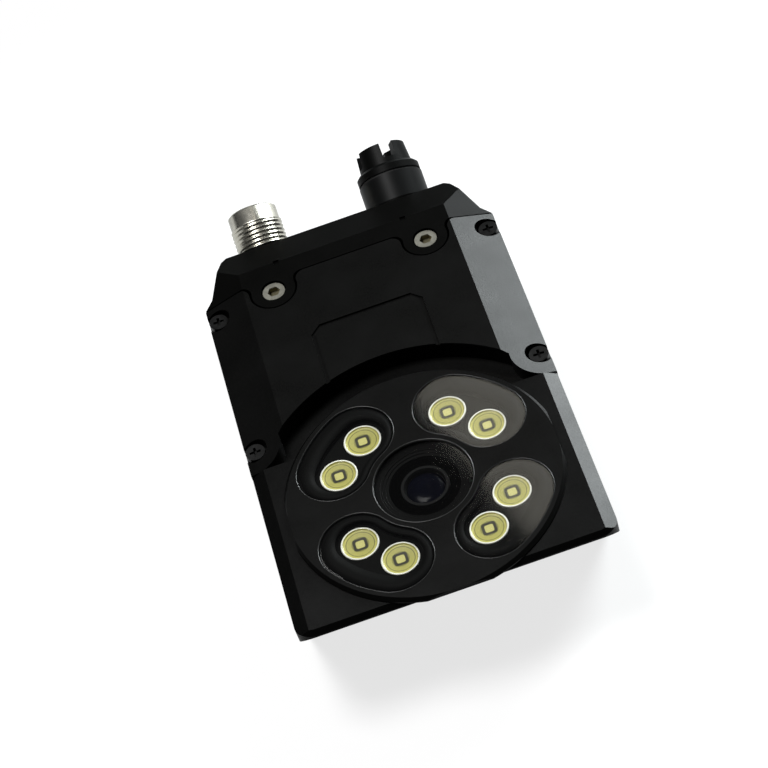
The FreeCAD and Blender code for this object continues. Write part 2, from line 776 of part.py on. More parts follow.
    prism(body, "mount_holes", "XY_Plane", mount_holes, rear, rear + S.mount_hole_depth,
          remove=True)

    def cover_holes(sketch):
        for side in SIDES:
            for y in (screw_low, screw_high):
                draw_facetted(sketch, side * screw_x, y, S.screw_shank_radius + 2 * S.fit_gap)

    shank_end = -S.counterbore_floor - S.screw_length
    prism(body, "cover_screw_holes", "XY_Plane", cover_holes, shank_end - 1, seat, remove=True)

    def block_holes(sketch):
        for side in SIDES:
            draw_facetted(sketch, side * ear_x, ear_y,
                          S.socket_shank_radius + 2 * S.fit_gap)

    tip = S.block_front - S.socket_sink - S.socket_head_height - S.socket_length
    prism(body, "block_screw_holes", "XY_Plane", block_holes, tip - 1, seat, remove=True)

    # way for the connector wiring through the end wall
    prism(body, "wiring_way", "XZ_Plane",
          lambda sketch: draw_polygon(sketch, rectangle(
              centred(ZERO, ear_x), (floor, seat - S.end_wall))),
          seam - S.end_wall - 1, seam + 1, remove=True)
    return node("housing", body)


def undercut_edge(level):
    """Where the undercut of the lower end is at a level."""
    return -S.lower_end + (-S.undercut_start - level) * tangent(S.undercut_angle)


def processor_y():
    return (S.board_low + board_high) / 2 - S.processor_shift


def pedestal_top():
    """Top of the cast block that takes the processor's heat."""
    return -S.board_level - S.board_thickness - S.processor_height - S.pad_height


# --------------------------------------------------------------- upper cover

def side_wedge(sketch, side, front):
    """Section of what lies outside a side bevel and its side wall."""
    inner = side * (half_cover - S.cover_bevel_width)
    edge = side * half_cover
    outside = side * (half_cover + S.lobe_radius + 1)
    low = front - S.bevel_drop
    draw_polygon(sketch, (
        (inner, front), (edge, low), (edge, rear - 1), (outside, rear - 1),
        (outside, front + 1), (inner, front + 1)))


def build_upper_cover():
    """Cast cover with side bevels, an arc round the bezel and a wavy top edge."""
    body = new_body("upper_cover")
    top = seam - S.seam_gap / 2
    low = S.split_height + S.seam_gap / 2
    prism(body, "plate", "XY_Plane",
          lambda sketch: draw_polygon(sketch, rectangle((-half_cover, half_cover), (low, top))),
          seat, S.cover_front)
    prism(body, "arc", "XY_Plane", lambda sketch: draw_circle(sketch, 0, 0, S.arc_radius),
          seat + S.channel_floor, S.cover_front + 1, remove=True)
    prism(body, "bezel_way", "XY_Plane",
          lambda sketch: draw_circle(sketch, 0, 0, well_rim_radius + S.channel_gap),
          seat - 1, S.cover_front, remove=True)
    for side, word in ((-1, "left"), (1, "right")):
        prism(body, word + "_lobe", "XY_Plane",
              lambda sketch, side=side: draw_circle(
                  sketch, side * screw_x, screw_low, S.lobe_radius),
              seat, S.cover_front)
    ear_cut = S.ear_radius + S.seam_gap / 2

    def ears(sketch):
        for side in SIDES:
            draw_circle(sketch, side * ear_x, ear_y, ear_cut)

    notched = prism(body, "ear_notches", "XY_Plane", ears, seat - 1, S.cover_front + 1,
                    remove=True)
    doc.recompute()
    tips = edges_where(notched, lambda edge, middle: upright(edge)
                       and abs(middle.y - top.value) < near
                       and abs(abs(middle.x) - ear_x.value) < ear_cut.value)
    round_edges(body, "seam_blends", notched, tips, S.seam_blend)
    for side, word in ((-1, "left"), (1, "right")):
        prism(body, word + "_bevel", "XZ_Plane",
              lambda sketch, side=side: side_wedge(sketch, side, S.cover_front),
              low - S.lobe_radius, top + 1, remove=True)

    # hollow underside
    hollow_half = half_cover - S.cover_rim - counterbore_radius
    hollow_top = ear_y - ear_cut - S.cover_skin
    hollow_low = S.arc_radius + S.cover_skin
    prism(body, "hollow", "XY_Plane",
          lambda sketch: draw_polygon(sketch, rectangle(
              (-hollow_half, hollow_half), (hollow_low, hollow_top))),
          seat, -S.cover_skin, remove=True)

    def counterbores(sketch):
        for side in SIDES:
            for y in (screw_low, screw_high):
                draw_circle(sketch, side * screw_x, y, counterbore_radius)

    def holes(sketch):
        for side in SIDES:
            for y in (screw_low, screw_high):
                draw_facetted(sketch, side * screw_x, y,
                              S.screw_shank_radius + S.hole_clearance)

    prism(body, "counterbores", "XY_Plane", counterbores, -S.counterbore_floor,
          S.cover_front + 1, remove=True)
    prism(body, "screw_holes", "XY_Plane", holes, seat - 1, S.cover_front, remove=True)

    # outline of the label field: an inverted U that opens into the arc
    outer = S.pocket_width / 2
    inner = outer - S.pocket_line
    field_top = pocket_top
    start = S.arc_radius - S.lobe_radius
    prism(body, "label_line", "XY_Plane",
          lambda sketch: draw_polygon(sketch, (
              (-outer, start), (-outer, field_top - S.pocket_corner),
              (-outer + S.pocket_corner, field_top), (outer - S.pocket_corner, field_top),
              (outer, field_top - S.pocket_corner), (outer, start), (inner, start),
              (inner, field_top - S.pocket_corner),
              (inner - S.pocket_corner + S.pocket_line, field_top - S.pocket_line),
              (-inner + S.pocket_corner - S.pocket_line, field_top - S.pocket_line),
              (-inner, field_top - S.pocket_corner), (-inner, start))),
          S.cover_front - S.pocket_depth, S.cover_front + 1, remove=True)
    return node("upper_cover", body)


# ----------------------------------------------------------- connector block

outlet_edge = S.block_front - S.slope_drop
OUTLET_TURN = FreeCAD.Rotation(FreeCAD.Vector(1, 0, 0), S.outlet_angle.value - 90)


def end_face(level):
    """Where the slanted end face is at a level."""
    return block_end + (outlet_edge - level) * tangent(S.outlet_angle)


def along_outlet(x, height):
    """A point on a connector's axis, this high over the end face."""
    y = block_end + S.outlet_level * sine(S.outlet_angle) + height * cosine(S.outlet_angle)
    z = outlet_edge - S.outlet_level * cosine(S.outlet_angle) + height * sine(S.outlet_angle)
    return (x, y, z)


def outlet_seat(x):
    """Takes a connector drawn upright on the origin to its place on the end face."""
    spot = [term.value for term in along_outlet(x, ZERO)]
    return FreeCAD.Placement(FreeCAD.Vector(*spot), OUTLET_TURN)


def build_connector_block():
    """End casting with two screw ears, facets and the connectors' bosses."""
    body = new_body("connector_block")
    low = seam + S.seam_gap / 2
    top = block_end

    def plan(sketch):
        narrow = half_body - S.block_taper - S.block_corner
        right = (
            (half_body, low),
            (half_body - S.block_notch, low + S.block_notch),
            (half_body - S.block_taper, top - S.block_corner),
            (narrow, top),
            (narrow, end_face(rear) + 1),
        )
        left = tuple((-x, y) for x, y in reversed(right))
        draw_polygon(sketch, right + left)

    prism(body, "main", "XY_Plane", plan, rear, S.block_front)
    ear = S.ear_radius - S.seam_gap / 2

    def ears(sketch):
        for side in SIDES:
            draw_circle(sketch, side * ear_x, ear_y, ear)

    joined = prism(body, "ears", "XY_Plane", ears, seat, S.block_front)
    doc.recompute()
    roots = edges_where(joined, lambda edge, middle: upright(edge)
                        and abs(middle.y - low.value) < near
                        and middle.z > seat.value
                        and abs(abs(middle.x) - ear_x.value) < ear.value)
    round_edges(body, "seam_blends", joined, roots, S.seam_blend)
    for side, word in ((-1, "left"), (1, "right")):
        prism(body, word + "_facet", "XZ_Plane",
              lambda sketch, side=side: side_wedge(sketch, side, S.block_front),
              ear_y - S.ear_radius, top + 1, remove=True)

    def ends(sketch):
        back = rear - 1
        heel = -S.heel_level
        beyond = end_face(back) + 2
        draw_polygon(sketch, (
            (block_edge, S.block_front), (top, outlet_edge), (end_face(heel), heel),
            (end_face(heel), back), (beyond, back), (beyond, S.block_front + 1),
            (block_edge, S.block_front + 1)))

    prism(body, "slope_and_end", "YZ_Plane", ends, -half_cover, half_cover, remove=True)

    def hollow(sketch):
        high = seat - S.block_wall
        back = rear + S.block_wall
        inside = S.block_wall / cosine(S.outlet_angle)
        heel = -S.heel_level
        draw_polygon(sketch, (
            (low, high), (end_face(high) - inside, high), (end_face(heel) - inside, heel),
            (end_face(heel) - inside, back), (low, back)))

    half_hollow = half_body - S.block_taper - S.block_corner - S.block_wall
    prism(body, "hollow", "YZ_Plane", hollow, -half_hollow, half_hollow, remove=True)
    for name, x, radius in (("power", power_x, shell_root_radius),
                            ("network", network_x, S.collar_radius)):
        boss = body.newObject("PartDesign::AdditiveCylinder", name + "_boss")
        bind(boss, "Radius", boss_radius)
        bind(boss, "Height", S.boss_height + S.block_wall / 2)
        boss.Placement.Rotation = OUTLET_TURN
        place(boss, *along_outlet(x, -S.block_wall / 2))
        bore = body.newObject("PartDesign::SubtractiveCylinder", name + "_bore")
        bind(bore, "Radius", radius + S.fit_gap)
        bind(bore, "Height", 2 * S.block_wall + S.boss_height + 1)
        bore.Placement.Rotation = OUTLET_TURN
        place(bore, *along_outlet(x, -2 * S.block_wall))
        doc.recompute()

    def edge_notches(sketch):
        for x in (-S.edge_notch_left, S.edge_notch_right):
            draw_polygon(sketch, rectangle(
                centred(x, S.edge_notch_size), centred(block_edge, S.edge_notch_size)))

    prism(body, "edge_notches", "XY_Plane", edge_notches, S.block_front - S.edge_notch_depth,
          S.block_front + 1, remove=True)

    def screw_holes(sketch):
        for side in SIDES:
            draw_facetted(sketch, side * ear_x, ear_y,
                          S.socket_shank_radius + S.hole_clearance)

    def head_seats(sketch):
        for side in SIDES:
            draw_circle(sketch, side * ear_x, ear_y,
                        S.socket_head_radius + 2 * S.hole_clearance)

    head_foot = S.block_front - S.socket_sink - S.socket_head_height
    prism(body, "head_seats", "XY_Plane", head_seats, head_foot, S.block_front + 1, remove=True)
    prism(body, "screw_holes", "XY_Plane", screw_holes, seat - 1, head_foot + 1, remove=True)
    return node("connector_block", body)


def build_block_gasket():
    """Flat seal in the seam between the housing and the connector block."""
    rim = S.seam_gap / 2
    outside = half_body - S.block_notch
    inside = outside - S.block_wall - S.block_taper
    plate = box("gasket_plate", (-outside, outside), (seam, seam + rim),
                (rear + S.rear_bevel, seat - S.rear_bevel))
    opening = box("gasket_opening", (-inside, inside), (seam - 1, seam + 1),
                  (rear + S.block_wall, seat - S.block_wall))
    return node("block_gasket", cut("block_gasket", plate, [opening]))


# --------------------------------------------------------- bezel and windows

def quarter_middles():
    """Middle angles of the four windows."""
    return [as_term(45 + 90 * quarter) for quarter in range(4)]


def build_bezel():
    """Front ring with four flats, a lens opening and four kidney openings."""
    body = new_body("bezel")
    disc = prism(body, "disc", "XY_Plane",
                 lambda sketch: draw_circle(sketch, 0, 0, S.bezel_radius), housing_face, ZERO)
    doc.recompute()
    rim = edges_where(disc, lambda edge, middle: abs(middle.z) < near)
    bevel_edges(body, "rim_chamfer", disc, rim, S.bezel_chamfer)
    reach = S.bezel_radius + 1

    def outside(sketch):
        far = reach + 2
        draw_polygon(sketch, rectangle((-far, far), (-far, far)))
        draw_polygon(sketch, rectangle((-bezel_flat, bezel_flat),
                                       (-bezel_flat, bezel_flat)))

    prism(body, "flats", "XY_Plane", outside, housing_face - 1, 1, remove=True)
    prism(body, "lens_opening", "XY_Plane",
          lambda sketch: draw_circle(sketch, 0, 0, S.lens_opening), housing_face - 1, 1,
          remove=True)
    for number, middle in enumerate(quarter_middles(), start=1):
        prism(body, "window_{}".format(number), "XY_Plane",
              lambda sketch, middle=middle: draw_kidney(
                  sketch, window_circle, window_radius, S.window_half_angle, middle),
              housing_face - 1, 1, remove=True)
    return node("bezel", body)


def build_windows():
    """Four clear kidney panes, each in its opening of the bezel."""
    panes = []
    for number, middle in enumerate(quarter_middles(), start=1):
        body = new_body("pane_{}".format(number))
        prism(body, "pane_plate_{}".format(number), "XY_Plane",
              lambda sketch, middle=middle: draw_kidney(
                  sketch, window_circle, window_radius - S.window_gap,
                  S.window_half_angle, middle),
              housing_face, -S.window_sink)
        panes.append(body)
    return node("light_windows", group("light_windows", panes))


def light_spots():
    """The eight light sources as (name, x, y)."""
    spots = []
    for number, middle in enumerate(quarter_middles(), start=1):
        for side, word in ((-1, "a"), (1, "b")):
            angle = middle + side * S.light_half_angle
            spots.append(("{}{}".format(number, word), light_circle * cosine(angle),
                          light_circle * sine(angle)))
    return spots


def build_light_holder():
    """Black moulding with the hood of the lens and eight collimator pockets."""
    body = new_body("light_holder")
    back = -S.holder_depth
    ledge = -S.glass_level - S.glass_thickness
    section = (
        (S.lens_opening, housing_face), (holder_radius, housing_face),
        (holder_radius, back), (hood_throat, back),
        (hood_throat, ledge - S.hood_drop), (glass_ledge, ledge),
        (S.lens_opening, ledge),
    )
    sketch = new_sketch(body, "section", "XZ_Plane", ZERO)
    draw_polygon(sketch, section)
    revolve(body, "moulding", sketch, "V_Axis")
    for number, middle in enumerate(quarter_middles(), start=1):
        prism(body, "recess_{}".format(number), "XY_Plane",
              lambda sketch, middle=middle: draw_kidney(
                  sketch, light_circle, light_recess_radius, S.light_half_angle, middle),
              housing_face - S.light_recess_depth, housing_face + 1, remove=True)
    prism(body, "lower_flat", "XY_Plane",
          lambda sketch: draw_polygon(sketch, rectangle(
              (-holder_radius, holder_radius), (-holder_radius - 1, -holder_flat))),
          back - 1, ZERO, remove=True)
    bores = []
    for name, x, y in light_spots()[:2]:
        bores.append(prism(
            body, "pocket_" + name, "XY_Plane",
            lambda sketch, x=x, y=y: draw_facetted(
                sketch, x, y, S.collimator_radius + S.collimator_gap, OPTIC_SIDES),
            back - 1, ZERO, remove=True))
        doc.recompute()
    polar(body, "pockets", bores, 4)
    return node("light_holder", body)


def build_light_parts():
    """Collimators, emitters and the ring board behind them."""
    collimators = []
    emitters = []
    board_face = -S.holder_depth
    emitter_top = board_face + S.emitter_height
    foot = emitter_top + S.collimator_gap
    for name, x, y in light_spots():
        collimators.append(frustum("collimator_" + name, S.collimator_foot,
                                   S.collimator_radius, (x, y, foot), housing_face - foot))
        half = S.emitter_width / 2
        emitters.append(box("emitter_" + name, (x - half, x + half), (y - half, y + half),
                            (board_face, emitter_top)))
    node("collimators", group("collimators", collimators))
    node("light_emitters", group("light_emitters", emitters))
    board_back = board_face - S.light_board_thickness
    ring = tube("light_board_ring", light_board_radius, hood_throat,
                (ZERO, ZERO, board_back), S.light_board_thickness)
    beyond = box("light_board_flat", (-light_board_radius, light_board_radius),
                 (-light_board_radius - 1, -light_board_flat),
                 (board_back - 1, board_face + 1))
    return node("light_board", cut("light_board", ring, [beyond]))


# ---------------------------------------------------------------------- lens

def build_optics():
    """Cover glass, lens barrel with two elements, its holder and the sensor."""
    glass_back = -S.glass_level - S.glass_thickness
    node("lens_window", cylinder("lens_window", glass_radius, (ZERO, ZERO, glass_back),
                                 S.glass_thickness))
    barrel = new_body("lens_barrel")
    front = -S.barrel_front
    back = -S.barrel_back
    ledge = back + S.barrel_ledge
    narrow = S.barrel_bore - S.barrel_ledge_width
    sketch = new_sketch(barrel, "barrel_section", "XZ_Plane", ZERO)
    draw_polygon(sketch, (
        (S.barrel_bore + S.barrel_lip, front), (S.barrel_radius, front),
        (S.barrel_radius, back), (narrow, back), (narrow, ledge), (S.barrel_bore, ledge),
        (S.barrel_bore, front - S.barrel_lip_depth)))
    revolve(barrel, "barrel_turned", sketch, "V_Axis")
    node("lens_barrel", barrel)
    lens = new_body("front_lens")
    edge = S.barrel_bore - S.fit_gap
    top = front - S.front_lens_sink
    foot = top - S.front_lens_height
    rim = top - S.front_lens_sag
    shoulder = (top + rim) / 2
    sketch = new_sketch(lens, "lens_section", "XZ_Plane", ZERO)
    draw_polygon(sketch, (
        (ZERO, foot), (edge, foot), (edge, rim), (edge * 0.7, shoulder),
        (edge * 0.35, top), (ZERO, top)))
    revolve(lens, "lens_turned", sketch, "V_Axis")
    node("front_lens", lens)
    node("rear_lens", cylinder("rear_lens", edge, (ZERO, ZERO, ledge), S.rear_lens_height))
    holder = tube("lens_holder_ring", S.mount_ring_radius, S.barrel_radius + S.fit_gap,
                  (ZERO, ZERO, -S.sensor_board_level),
                  S.sensor_board_level - S.mount_ring_front)
    node("lens_holder", holder)
    board_back = -S.sensor_board_level - S.board_thickness
    side = board_well_radius
    node("sensor_board", box("sensor_board", centred(ZERO, side), centred(ZERO, side),
                             (board_back, -S.sensor_board_level)))
    chip = centred(ZERO, S.sensor_width)
    node("image_sensor", box("image_sensor", chip, chip,
                             (-S.sensor_board_level, -S.sensor_board_level + S.sensor_height)))
    posts = []
    inset = side / 2 - S.pillar_radius - S.pillar_inset
    lower = undercut_edge(floor) + S.undercut_wall + S.pillar_radius + S.pillar_inset
    for number, (x, y) in enumerate(((-1, lower), (1, lower), (1, inset), (-1, inset)), start=1):
        posts.append(stick("board_pillar_{}".format(number), S.pillar_radius,
                           (x * inset, y, floor), board_back - floor))
    return node("board_pillars", group("board_pillars", posts))


def build_electronics():
    """Main board, processor and the pad that carries its heat to the casting."""
    top = -S.board_level
    back = top - S.board_thickness
    node("main_board", box("main_board", centred(ZERO, board_width),
                           (S.board_low, board_high), (back, top)))
    across = centred(ZERO, S.processor_width)
    along = centred(processor_y(), S.processor_width)
    under = back - S.processor_height
    node("processor", box("processor", across, along, (under, back)))
    return node("thermal_pad", box("thermal_pad", across, along, (pedestal_top(), under)))


# ---------------------------------------------------------------- connectors

def build_power_connector():
    """M12 male socket: threaded shell, insert and pins, drawn upright."""
    shell = new_body("power_shell")
    seat_here = outlet_seat(power_x)
    tip = S.boss_height + S.thread_length
    thread_start = S.boss_height + S.thread_relief
    inner_end = -S.block_wall
    chamfer = S.shell_chamfer
    sketch = new_sketch(shell, "shell_section", "XZ_Plane", ZERO)
    draw_polygon(sketch, (
        (S.shell_bore, inner_end), (shell_root_radius, inner_end),
        (shell_root_radius, thread_start), (S.thread_radius, thread_start),
        (S.thread_radius, tip - chamfer), (S.thread_radius - chamfer, tip),
        (S.shell_bore, tip)))
    revolve(shell, "shell_turned", sketch, "V_Axis")
    node("power_shell", shell, seat_here)

    face = tip - S.shell_floor
    insert = cylinder("power_insert", S.shell_bore - S.fit_gap, (ZERO, ZERO, inner_end - S.insert_tail),
                      face - inner_end + S.insert_tail)
    pins = []
    rings = ((9, S.outer_pin_circle), (3, S.inner_pin_circle))
    for ring, (count, radius) in enumerate(rings, start=1):
        for step in range(count):
            angle = as_term(90 + 360 * step / count)
            pins.append(stick("pin_{}_{}".format(ring, step + 1), S.pin_radius,
                              (radius * cosine(angle), radius * sine(angle), face),
                              S.shell_floor - S.pin_setback))
    node("power_insert", insert, seat_here)
    return node("power_pins", group("power_pins", pins), seat_here)


def build_network_connector():
    """M12 female socket with its collar, insert and contacts, drawn upright."""
    seat_here = outlet_seat(network_x)
    inner_end = -S.block_wall
    foot = (ZERO, ZERO, inner_end)
    collar = tube("network_collar_ring", S.collar_radius, S.collar_bore, foot,
                  S.collar_length - inner_end)
    node("network_collar", collar, seat_here)
    face = S.collar_length - S.network_insert_sink
    plug_foot = (ZERO, ZERO, inner_end - S.insert_tail)
    plug = cylinder("network_plug", network_insert_radius, plug_foot,
                    face - inner_end + S.insert_tail)
    flange = cylinder("network_flange", S.collar_bore - S.fit_gap, plug_foot,
                      S.network_flange_height)
    contacts = []
    holes = []
    for quarter in range(4):
        for side in SIDES:
            angle = as_term(45 + 90 * quarter) + side * S.contact_spread
            spot = (S.contact_circle * cosine(angle), S.contact_circle * sine(angle),
                    face - S.contact_depth)
            name = "{}{}".format(quarter + 1, "a" if side < 0 else "b")
            holes.append(stick("contact_hole_" + name, S.pin_radius + 2 * S.fit_gap, spot,
                               S.contact_depth + 1))
            contacts.append(stick("contact_" + name, S.pin_radius, spot, S.contact_length))
    insert = cut("network_insert", fuse("network_insert_blank", [plug, flange]), holes)
    node("network_insert", insert, seat_here)
    return node("network_contacts", group("network_contacts", contacts), seat_here)


def build_dust_cap():
    """Screw-in cap with a castellated crown, and its seal ring, drawn upright."""
    body = new_body("dust_cap")
    face = S.collar_length + S.cap_gap
    crown_foot = face + S.cap_flange_height
    crown_top = crown_foot + S.cap_crown_height
    section = (
        (ZERO, face), (cap_plug_bore, face), (cap_plug_bore, face - S.cap_plug_length),
        (cap_plug_radius, face - S.cap_plug_length), (cap_plug_radius, face),
        (cap_flange_radius, face),
        (cap_flange_radius, crown_foot - S.cap_flange_bevel),
        (cap_flange_radius - S.cap_flange_bevel, crown_foot),
        (cap_crown_radius, crown_foot),
        (cap_crown_radius - S.cap_crown_taper, crown_top),
        (S.cap_crown_bore, crown_top),
        (S.cap_crown_bore, crown_foot),
        (ZERO, crown_foot),
    )
    sketch = new_sketch(body, "cap_section", "XZ_Plane", ZERO)
    draw_polygon(sketch, section)
    revolve(body, "cap_turned", sketch, "V_Axis")
    doc.recompute()
    slot = body.newObject("PartDesign::SubtractiveBox", "slot")
    bind(slot, "Length", cap_flange_radius)
    bind(slot, "Width", S.cap_slot_width)
    bind(slot, "Height", S.cap_slot_depth + 1)
    place(slot, 0, -S.cap_slot_width / 2, crown_top - S.cap_slot_depth)
    doc.recompute()
    polar(body, "slots", [slot], 4)
    turn = FreeCAD.Rotation(FreeCAD.Vector(0, 0, 1), S.cap_turn.value)
    seat_here = outlet_seat(network_x)
    node("dust_cap", body, seat_here.multiply(FreeCAD.Placement(FreeCAD.Vector(), turn)))
    seal = tube("cap_seal", seal_radius + S.seal_section, seal_radius - S.seal_section,
                (ZERO, ZERO, S.collar_length), S.cap_gap)
    return node("cap_seal", seal, seat_here)


# -------------------------------------------------------------------- screws

def build_screws():
    """Cross-recessed cover screws and hexagon-socket block screws."""
    screws = []
    foot = -S.counterbore_floor
    half_span = S.screw_recess_span / 2
    half_wing = S.screw_recess_width / 2
    for side, word in ((-1, "left"), (1, "right")):
        for y, level in ((screw_low, "low"), (screw_high, "high")):
            name = "{}_{}".format(word, level)
            x = side * screw_x
            head = cylinder("head_" + name, S.screw_head_radius, (x, y, foot),
                            S.screw_head_height)
            shank = stick("shank_" + name, S.screw_shank_radius,
                          (x, y, foot - S.screw_length), S.screw_length)
            top = foot + S.screw_head_height
            depth = (top - S.screw_recess_depth, top + 1)
            wings = [
                box("wing_x_" + name, (x - half_span, x + half_span),
                    (y - half_wing, y + half_wing), depth),
                box("wing_y_" + name, (x - half_wing, x + half_wing),
                    (y - half_span, y + half_span), depth),
            ]
            screws.append(cut("cover_screw_" + name, fuse("blank_" + name, [head, shank]),
                              wings))
    node("cover_screws", group("cover_screws", screws))
    sockets = []
    foot = S.block_front - S.socket_sink - S.socket_head_height
    for side, word in ((-1, "left"), (1, "right")):
        x = side * ear_x
        head = cylinder("socket_head_" + word, S.socket_head_radius, (x, ear_y, foot),
                        S.socket_head_height)
        shank = stick("socket_shank_" + word, S.socket_shank_radius,
                      (x, ear_y, foot - S.socket_length), S.socket_length)
        hexagon = doc.addObject("Part::Prism", "hexagon_" + word)
        hexagon.Polygon = 6
        bind(hexagon, "Circumradius", S.socket_width / math.sqrt(3))
        bind(hexagon, "Height", S.socket_depth + 1)
        place(hexagon, x, ear_y, foot + S.socket_head_height - S.socket_depth)
        sockets.append(cut("block_screw_" + word, fuse("socket_blank_" + word, [head, shank]),
                           [hexagon]))
    return node("block_screws", group("block_screws", sockets))


# -------------------------------------------------------------------- export

def settle():
    """Moves every sub-part so that the origin is the mounting pattern's centre."""
    shift = FreeCAD.Placement(FreeCAD.Vector(0, -mount_centre.value, S.body_depth.value),
                              FreeCAD.Rotation())
    for part, seat_here in NODES:
        for path, _ in list(part.ExpressionEngine):
            if path.lstrip(".").startswith("Placement"):
                part.setExpression(path.lstrip("."), None)
        part.Placement = shift.multiply(seat_here).multiply(part.Placement)


def check():
    for thing in doc.Objects:
        if "Invalid" in thing.State or "Error" in thing.State:
            raise RuntimeError("{} is in state {}".format(thing.Name, thing.State))
    for part, _ in NODES:
        if part.Shape.isNull() or not part.Shape.isValid():
            raise RuntimeError("{} has no valid shape".format(part.Label))


def export():
    os.makedirs("parts", exist_ok=True)
    for part, _ in NODES:
        part.Shape.exportStep(os.path.join("parts", part.Label + ".step"))
        print("{:18s} solids {:2d} volume {:9.1f}".format(
            part.Label, len(part.Shape.Solids), part.Shape.Volume))


build_housing()
build_upper_cover()
build_connector_block()
build_block_gasket()
build_bezel()
build_windows()
build_light_holder()
build_light_parts()
build_optics()
build_electronics()
build_power_connector()
build_network_connector()
build_dust_cap()
build_screws()
doc.recompute()
settle()
doc.recompute()
check()
export()
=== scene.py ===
"""Finish, fine detail and studio for a compact machine vision camera."""
import json
import math

import bpy
import numpy as np
from bpy.props import FloatProperty, FloatVectorProperty, IntProperty, PointerProperty
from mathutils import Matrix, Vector


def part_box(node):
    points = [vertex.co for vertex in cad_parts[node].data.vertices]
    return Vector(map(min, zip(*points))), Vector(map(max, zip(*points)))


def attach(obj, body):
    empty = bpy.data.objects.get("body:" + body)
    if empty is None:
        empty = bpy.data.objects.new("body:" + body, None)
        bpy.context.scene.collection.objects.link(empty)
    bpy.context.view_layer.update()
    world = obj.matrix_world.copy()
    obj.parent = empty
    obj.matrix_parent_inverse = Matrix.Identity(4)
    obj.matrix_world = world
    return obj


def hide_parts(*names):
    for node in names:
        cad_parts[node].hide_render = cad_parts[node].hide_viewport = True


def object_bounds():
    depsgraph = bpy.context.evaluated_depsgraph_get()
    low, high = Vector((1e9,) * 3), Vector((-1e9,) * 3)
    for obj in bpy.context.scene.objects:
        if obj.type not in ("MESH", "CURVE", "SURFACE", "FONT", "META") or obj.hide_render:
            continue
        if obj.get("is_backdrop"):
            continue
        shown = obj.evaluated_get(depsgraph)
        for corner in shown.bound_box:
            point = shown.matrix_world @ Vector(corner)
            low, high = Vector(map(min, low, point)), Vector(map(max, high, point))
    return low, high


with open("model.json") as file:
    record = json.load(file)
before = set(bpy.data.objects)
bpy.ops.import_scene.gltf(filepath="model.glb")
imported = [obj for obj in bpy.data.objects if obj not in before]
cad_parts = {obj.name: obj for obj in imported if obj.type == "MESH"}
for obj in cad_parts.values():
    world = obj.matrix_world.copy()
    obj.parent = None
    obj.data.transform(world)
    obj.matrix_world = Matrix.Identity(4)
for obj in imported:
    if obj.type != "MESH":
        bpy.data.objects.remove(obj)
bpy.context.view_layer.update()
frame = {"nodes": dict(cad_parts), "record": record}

bl_info = {
    "name": "Machine Vision Camera",
    "version": (1, 0, 0),
    "blender": (4, 5, 0),
    "location": "View3D > Sidebar > Vision Camera",
    "description": "Dresses a compact smart camera with its light, lens, thread and finishes",
    "category": "Object",
}

MM = 0.001


# ------------------------------------------------------------------ properties

class VisionSizes(bpy.types.PropertyGroup):
    """Sizes of the fine detail."""

    light_circle: FloatProperty(
        name="Light circle", description="Radius of the circle of light sources",
        default=18.46 * MM, unit="LENGTH", precision=5)
    light_spread: FloatProperty(
        name="Light spread", description="Half the angle between two neighbouring sources",
        default=math.radians(15.0), subtype="ANGLE")
    light_radius: FloatProperty(
        name="Optic radius", description="Radius of one light source's optic",
        default=4.0 * MM, unit="LENGTH", precision=5)
    window_circle: FloatProperty(
        name="Window circle", description="Centre line of the kidney windows",
        default=19.5 * MM, unit="LENGTH", precision=5)
    window_spread: FloatProperty(
        name="Window spread", description="Half the angle between a window's end centres",
        default=math.radians(13.7), subtype="ANGLE")
    window_radius: FloatProperty(
        name="Window half width", description="Half width of a kidney opening",
        default=7.8 * MM, unit="LENGTH", precision=5)
    border_gap: FloatProperty(
        name="Border gap", description="Opening's edge to the pane's dark border",
        default=0.45 * MM, unit="LENGTH", precision=5)
    border_inner: FloatProperty(
        name="Border inner edge", description="Half width of the clear field round the sources",
        default=4.9 * MM, unit="LENGTH", precision=5)
    thread_pitch: FloatProperty(
        name="Thread pitch", description="Pitch of the M12 thread",
        default=1.0 * MM, unit="LENGTH", precision=5)
    thread_depth: FloatProperty(
        name="Thread depth", description="Depth of the M12 thread",
        default=0.32 * MM, unit="LENGTH", precision=5)
    thread_turns: IntProperty(
        name="Thread turns", description="Turns of the thread over the boss", default=6, min=1)


class VisionColours(bpy.types.PropertyGroup):
    """Colours of the finishes."""

    casting: FloatVectorProperty(
        name="Casting", description="Paint of the cast housing", subtype="COLOR",
        default=(0.0011, 0.0011, 0.0010))
    bezel: FloatVectorProperty(
        name="Bezel", description="Paint of the bezel", subtype="COLOR",
        default=(0.0012, 0.0012, 0.0011))
    phosphor: FloatVectorProperty(
        name="Phosphor", description="Yellow of the light sources", subtype="COLOR",
        default=(0.41, 0.385, 0.10))
    nickel: FloatVectorProperty(
        name="Nickel", description="Plating of the threaded shell", subtype="COLOR",
        default=(0.78, 0.75, 0.655))
    glass: FloatVectorProperty(
        name="Lens glass", description="Body colour of the coated lens", subtype="COLOR",
        default=(0.0006, 0.0007, 0.0020))


# ------------------------------------------------------------------ materials

